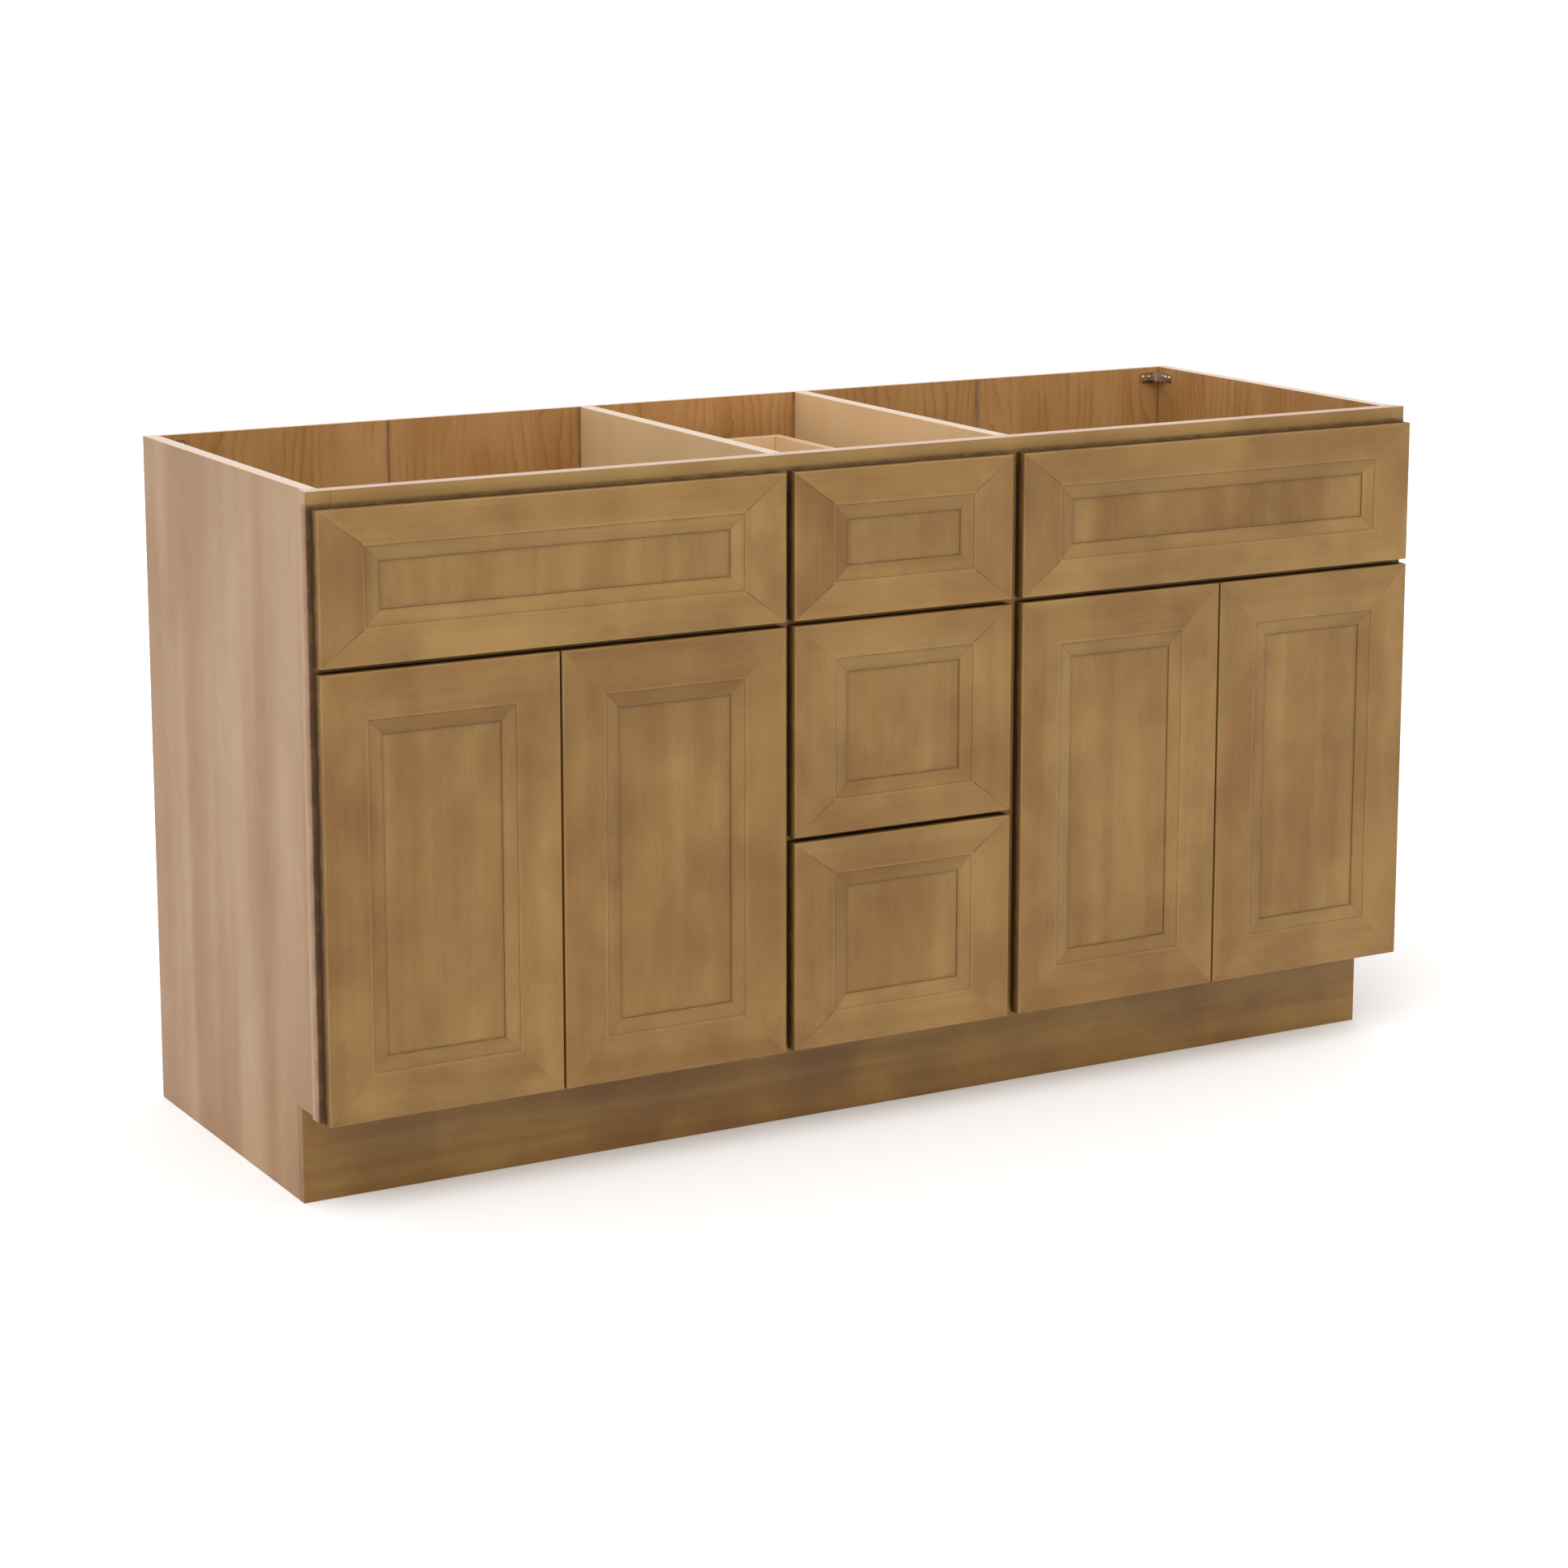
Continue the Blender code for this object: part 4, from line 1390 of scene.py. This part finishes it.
def make_drawer_box(drawer):
    """Four grooved walls and a loose bottom, with the screws that hold the front."""
    low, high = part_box(drawer + "_box")
    bottom_low, bottom_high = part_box(drawer + "_bottom")
    groove_low, groove_high = bottom_low.z - SLIP, bottom_high.z + SLIP

    def wall(label, axis, outer, inward, start, end):
        inner = outer + inward * BOX_WALL
        groove = inner - inward * BOX_GROOVE
        outline = [
            (outer, low.z),
            (outer, high.z),
            (inner, high.z),
            (inner, groove_high),
            (groove, groove_high),
            (groove, groove_low),
            (inner, groove_low),
            (inner, low.z),
        ]
        bm = start_board()
        add_run(bm, outline, axis, start, end)
        round_edges(bm, 0.0006, 2)
        through = X if axis == Y else Y
        name = f"{drawer}_box_{label}"

        # the walls' top edges painted paler: a painted highlight
        def highlighted(vert):
            return 0.7 if vert.co.z > high.z - 0.0007 else 0.0

        mark_grain(bm, name, axis, through, edge_highlight=highlighted)
        finish_piece(name, bm, [MAPLE_FINISH], drawer, (drawer + "_box",))

    wall("side_left", Y, low.x, 1, low.y, high.y)
    wall("side_right", Y, high.x, -1, low.y, high.y)
    near, far = low.x + BOX_WALL + SLIP, high.x - BOX_WALL - SLIP
    wall("front", X, low.y, 1, near, far)
    wall("back", X, high.y, -1, near, far)
    make_board(
        drawer + "_bottom_sheet",
        bottom_low,
        bottom_high,
        Y,
        [MAPLE_FINISH, PLY_EDGE],
        drawer,
        (drawer + "_bottom",),
    )
    bm = bmesh.new()
    for x in (-0.055, 0.055):
        for share in (0.36, 0.74):
            level = low.z + (high.z - low.z) * share
            add_screw(bm, (x, low.y + BOX_WALL, level), (0, 1, 0), 0.0046, 0.0019)
    finish_piece(drawer + "_front_screws", bm, [ZINC], drawer, smooth=True)


def make_channel(node, side, wheel):
    """The fixed channel, with its mounting screws and its front roller."""
    low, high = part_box(node)
    outer, inner = (high.x, low.x) if side > 0 else (low.x, high.x)
    web, lip = outer - side * SLIDE_SHEET / 2, inner + side * SLIDE_SHEET / 2
    floor, roof = low.z + SLIDE_SHEET / 2, high.z - SLIDE_SHEET / 2
    path = [
        (lip, floor + SLIDE_LIP),
        (lip, floor),
        (web, floor),
        (web, roof),
        (lip, roof),
        (lip, roof - SLIDE_LIP),
    ]
    bm = bmesh.new()
    add_run(bm, fold(path, SLIDE_SHEET, 0.0016), Y, low.y, high.y)
    for y in (low.y + 0.0055, low.y + 0.48):
        at = (web - side * SLIDE_SHEET / 2, y, (floor + roof) / 2)
        add_screw(bm, at, (-side, 0, 0), 0.0034, 0.0014)
    finish_piece(node + "_channel", bm, [ZINC], "root", (node,), smooth=True)
    bm = bmesh.new()
    at = (wheel[0], low.y + 0.030, wheel[1])
    add_wheel(bm, at, (-side, 0, 0), WHEEL_RADIUS, WHEEL_WIDTH)
    finish_piece(node + "_roller", bm, [NYLON], "root", smooth=True)


def make_runner(drawer, place, side, wheel, channel_floor):
    """The folded runner on the drawer's side, with its screws and its rear roller."""
    low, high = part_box(drawer + "_box")
    flank = high.x if side > 0 else low.x
    base = flank + side * (SLIP + RUNNER_SHEET / 2)
    shelf = base + side * 0.0084
    under = low.z - SLIP - RUNNER_SHEET / 2
    path = [
        (base - side * 0.0110, under),
        (base, under),
        (base, channel_floor + 0.0252),
        (shelf, channel_floor + 0.0252),
        (shelf, channel_floor + 0.0282),
        (base, channel_floor + 0.0282),
        (base, channel_floor + 0.0296),
    ]
    name = f"{drawer}_runner_{place}"
    bm = bmesh.new()
    add_run(bm, fold(path, RUNNER_SHEET, 0.0010), Y, low.y + 0.0035, high.y)
    for y in (low.y + 0.05, high.y - 0.06):
        at = (flank + side * (SLIP + RUNNER_SHEET), y, channel_floor + 0.012)
        add_screw(bm, at, (side, 0, 0), 0.0034, 0.0013)
    finish_piece(name, bm, [ZINC], drawer, smooth=True)
    bm = bmesh.new()
    at = (wheel[0], high.y - 0.0125, wheel[1])
    add_wheel(bm, at, (-side, 0, 0), WHEEL_RADIUS, WHEEL_WIDTH)
    finish_piece(name + "_roller", bm, [NYLON], drawer, smooth=True)


def make_rear_socket(node, side):
    """The nylon socket that holds the channel's rear end to the back panel."""
    low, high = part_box(node)
    outer, inner = (high.x, low.x) if side > 0 else (low.x, high.x)
    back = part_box("back_panel_center")[0].y - SLIP
    skin = FIT + SOCKET_WALL
    bottom, top = low.z - skin, high.z + skin
    front = high.y - SOCKET_REACH
    bm = bmesh.new()
    ear = outer + side * 0.020
    near, far = inner - side * 0.0022, outer + side * skin
    add_block(bm, (near, high.y + FIT, bottom), (ear, back, top), 0.0008)
    add_block(bm, (outer + side * FIT, front, bottom), (far, back, top), 0.0006)
    for first, second in ((low.z - FIT, bottom), (high.z + FIT, top)):
        add_block(bm, (inner, front, first), (far, back, second), 0.0006)
    finish_piece(node + "_rear_socket", bm, [NYLON], "root")
    bm = bmesh.new()
    for level in (low.z + 0.008, high.z - 0.008):
        at = (outer + side * 0.0115, high.y + FIT, level)
        add_screw(bm, at, (0, -1, 0), 0.0038, 0.0017)
    finish_piece(node + "_rear_screws", bm, [ZINC], "root", smooth=True)


def make_slide(drawer, place, side):
    """One slide: the cabinet's channel, the drawer's runner, and the rear socket."""
    node = f"{drawer}_slide_{place}"
    low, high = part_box(node)
    outer = high.x if side > 0 else low.x
    wheel_x = outer - side * (SLIDE_SHEET + 0.0012)
    wheel = (wheel_x, low.z + SLIDE_SHEET + WHEEL_RADIUS + FIT)
    make_channel(node, side, wheel)
    make_runner(drawer, place, side, wheel, low.z)
    make_rear_socket(node, side)


def make_hinge_cup(node, door, cup_x, door_back, level):
    """The open cup let into the door, with two screwed ears."""
    outline = [
        (0.0, -0.0114),
        (0.0150, -0.0114),
        (CUP_RADIUS - 0.0004, -0.0106),
        (CUP_RADIUS, -0.0098),
        (CUP_RADIUS, 0.0003),
        (CUP_RADIUS - 0.0002, 0.0013),
        (0.0160, 0.0013),
        (0.0156, 0.0009),
        (0.0154, -0.0080),
        (0.0140, -0.0098),
        (0.0, -0.0100),
    ]
    bm = bmesh.new()
    add_turned(bm, facing((cup_x, door_back, level), (0, 1, 0)), outline)
    flange = door_back + FIT
    for side in (-1, 1):
        ear = [
            (cup_x + x, level + side * (0.0210 + z))
            for x, z in arc((0.0, 0.0), 0, 180, EAR_RADIUS, 14)
        ]
        foot = level + side * 0.0146
        ear += [(cup_x - EAR_RADIUS, foot), (cup_x + EAR_RADIUS, foot)]
        add_run(bm, ear, Y, flange, flange + FLANGE_SHEET)
    finish_piece(node + "_cup", bm, [NICKEL], door, (node,), smooth=True)
    bm = bmesh.new()
    for side in (-1, 1):
        at = (cup_x, flange + FLANGE_SHEET, level + side * 0.0240)
        add_screw(bm, at, (0, 1, 0), 0.0034, 0.00045)
    finish_piece(node + "_cup_screws", bm, [ZINC], door, smooth=True)


def make_hinge_arm(node, frame_edge, inward, level):
    """The plate wrapped round the frame's edge, and the folded arm screwed to it."""
    plate = frame_edge + inward * SLIP
    outside = plate + inward * PLATE_SHEET
    hook = FRAME_BACK + FIT
    bm = bmesh.new()
    add_block(
        bm,
        (plate, FRAME_FACE + 0.0008, level - 0.0255),
        (outside, FRAME_BACK + 0.0022, level + 0.0255),
        0.0005,
    )
    add_block(
        bm,
        (outside, hook, level - 0.0120),
        (frame_edge - inward * 0.0075, hook + PLATE_SHEET, level + 0.0120),
        0.0005,
    )
    root = frame_edge + inward * 0.0016
    tip = frame_edge + inward * ARM_RISE
    path = [
        (root, level - ARM_HALF),
        (tip, level - ARM_HALF),
        (tip, level + ARM_HALF),
        (root, level + ARM_HALF),
    ]
    add_run(bm, fold(path, 0.0012, 0.0022), Y, FRAME_FACE + 0.0006, FRAME_FACE + 0.0232)
    for side in (-1, 1):
        at = (outside, (FRAME_FACE + FRAME_BACK) / 2, level + side * 0.0185)
        add_screw(bm, at, (inward, 0, 0), 0.0036, 0.0016)
    for y, radius in ((FRAME_FACE + 0.0075, 0.0026), (FRAME_FACE + 0.0165, 0.0032)):
        add_screw(bm, (tip + inward * 0.0006, y, level), (inward, 0, 0), radius, 0.0009)
    finish_piece(node + "_arm", bm, [NICKEL], "root", smooth=True)


def make_hinge_links(node, door, start, end, inward, level):
    """Two slim side links and one broad middle link, from the arm into the cup."""
    run = end - start
    across = Vector((-run.y, run.x)).normalized()
    bm = bmesh.new()
    for lift, width, centre in (
        (0.0, 0.0018, 0.0050),
        (0.0, 0.0018, -0.0050),
        (-0.0022, 0.0050, 0.0),
    ):
        rings = []
        for step in range(25):
            point = start + run * (step / 24) + across * (lift * inward)
            ring = []
            for up, out in ((-1, -1), (1, -1), (1, 1), (-1, 1)):
                spot = point + across * (0.00065 * out)
                ring.append(bm.verts.new((spot.x, spot.y, level + centre + up * width / 2)))
            rings.append(ring)
        close_rings(bm, rings)
    link = finish_piece(node + "_links", bm, [NICKEL], None)
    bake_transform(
        link,
        "root",
        door,
        start=(*(start + run * 0.12), level),
        end=(*(start + run * 0.88), level),
    )


def make_hinge(door, place, inward):
    """A concealed hinge: its cup on the door, its arm on the frame, its links between."""
    node = f"{door}_hinge_{place}"
    low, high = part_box(node)
    door_low, door_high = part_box(door + "_frame")
    door_back = door_high.y
    level = (low.z + high.z) / 2
    cup_x = (door_low.x if inward > 0 else door_high.x) + inward * CUP_SETBACK
    frame_edge = (high.x if inward > 0 else low.x) - inward * ARM_HOLD
    make_hinge_cup(node, door, cup_x, door_back, level)
    make_hinge_arm(node, frame_edge, inward, level)
    start = Vector((frame_edge + inward * 0.0072, FRAME_FACE + 0.0050))
    end = Vector((cup_x - inward * 0.0040, door_back - 0.0068))
    make_hinge_links(node, door, start, end, inward, level)


def make_brace(side, place):
    """A bent steel corner brace with a bridge across the corner and two screws in each leg."""
    node = "corner_brace_" + place
    low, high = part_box(node)
    half = BRACE_SHEET / 2
    corner = Vector(((high.x if side > 0 else low.x) - side * half, high.y - half))
    along_back, along_side = Vector((-side, 0.0)), Vector((0.0, -1.0))
    path = [corner + along_back * BRACE_LEG]
    for step in range(13):
        angle = math.pi / 2 * step / 12
        bridge = along_back * math.cos(angle) + along_side * math.sin(angle)
        path.append(corner + bridge * BRACE_BRIDGE)
    path.append(corner + along_side * BRACE_LEG)
    bm = bmesh.new()
    add_run(bm, fold(path, BRACE_SHEET, 0.0006), Z, low.z, high.z)
    level = (low.z + high.z) / 2
    for reach in (0.0172, 0.0262):
        for leg, out in ((along_back, along_side), (along_side, along_back)):
            at = corner + leg * reach + out * half
            add_screw(bm, (*at, level), (*out, 0.0), 0.0029, 0.0012)
    finish_piece(node + "_bracket", bm, [NICKEL], "root", (node,), smooth=True)


def make_bumpers():
    """Soft dots that keep the fronts off the frame."""
    upper_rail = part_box("frame_middle_rail_left")[0].z
    lower_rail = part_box("frame_bottom_rail")[1].z
    spots = []
    for door, free in DOORS:
        low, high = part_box(door + "_frame")
        x = high.x - 0.016 if free > 0 else low.x + 0.016
        top, bottom = (high.z + upper_rail) / 2, (low.z + lower_rail) / 2
        spots.append((door, high.y, [(x, top), (x, bottom)]))
    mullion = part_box("frame_mullion_right")[0].x
    for drawer in DRAWERS:
        low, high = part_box(drawer + "_front_frame")
        x = (high.x + mullion) / 2
        levels = (low.z + 0.014, high.z - 0.014)
        corners = [(side * x, z) for side in (-1, 1) for z in levels]
        spots.append((drawer, high.y, corners))
    outline = [
        (0.0, 0.0),
        (0.0046, 0.0),
        (0.0047, 0.0004),
        (0.0043, 0.0012),
        (0.0030, 0.0016),
        (0.0, 0.0017),
    ]
    for body, y, corners in spots:
        bm = bmesh.new()
        for x, z in corners:
            add_turned(bm, facing((x, y + 0.0001, z), (0, 1, 0)), outline)
        finish_piece(body + "_bumpers", bm, [VINYL], body, smooth=True)


def make_fittings():
    for drawer in DRAWERS:
        make_drawer_box(drawer)
        make_slide(drawer, "left", -1)
        make_slide(drawer, "right", 1)
    for door, inward in DOORS:
        for place in ("upper", "lower"):
            make_hinge(door, place, inward)
    make_brace(-1, "left")
    make_brace(1, "right")
    make_bumpers()


def make_floor():
    bm = bmesh.new()
    bmesh.ops.create_grid(bm, x_segments=1, y_segments=1, size=FLOOR_SIZE)
    mesh = bpy.data.meshes.new("studio_floor")
    bm.to_mesh(mesh)
    bm.free()
    floor = bpy.data.objects.new("studio_floor", mesh)
    bpy.context.scene.collection.objects.link(floor)
    floor.location.z = -FLOOR_DROP
    material, _, shader = new_material("studio_floor")
    shader.inputs["Base Color"].default_value = (0.92, 0.92, 0.92, 1.0)
    shader.inputs["Roughness"].default_value = 0.9
    shader.inputs["Specular IOR Level"].default_value = 0.0
    mesh.materials.append(material)


def make_lights():
    """An even white tent and one large soft lamp, high on the front left."""
    world = bpy.data.worlds.new("studio")
    bpy.context.scene.world = world
    world.use_nodes = True
    background = world.node_tree.nodes["Background"]
    background.inputs["Color"].default_value = (1.0, 1.0, 1.0, 1.0)
    background.inputs["Strength"].default_value = TENT_LIGHT
    light = bpy.data.lights.new("soft_key", "SUN")
    light.energy = KEY_LIGHT
    light.angle = math.radians(KEY_SPREAD)
    lamp = bpy.data.objects.new("soft_key", light)
    lamp.rotation_euler = Vector(KEY_FROM).to_track_quat("Z", "Y").to_euler()
    bpy.context.scene.collection.objects.link(lamp)


def make_camera():
    """Stands to the left of the cabinet and a little above it."""
    lens = bpy.data.cameras.new("camera")
    lens.lens = LENS
    lens.sensor_width = 36.0
    lens.shift_y = LENS_SHIFT
    camera = bpy.data.objects.new("camera", lens)
    camera.location = CAMERA_PLACE
    camera.rotation_euler = (math.radians(90 - CAMERA_TILT), 0.0, math.radians(CAMERA_TURN))
    bpy.context.scene.collection.objects.link(camera)
    bpy.context.scene.camera = camera
    bpy.context.scene.view_settings.view_transform = "Standard"


make_camera()
make_lights()
make_floor()
make_carcass()
make_face_frame()
make_fronts()
make_fittings()
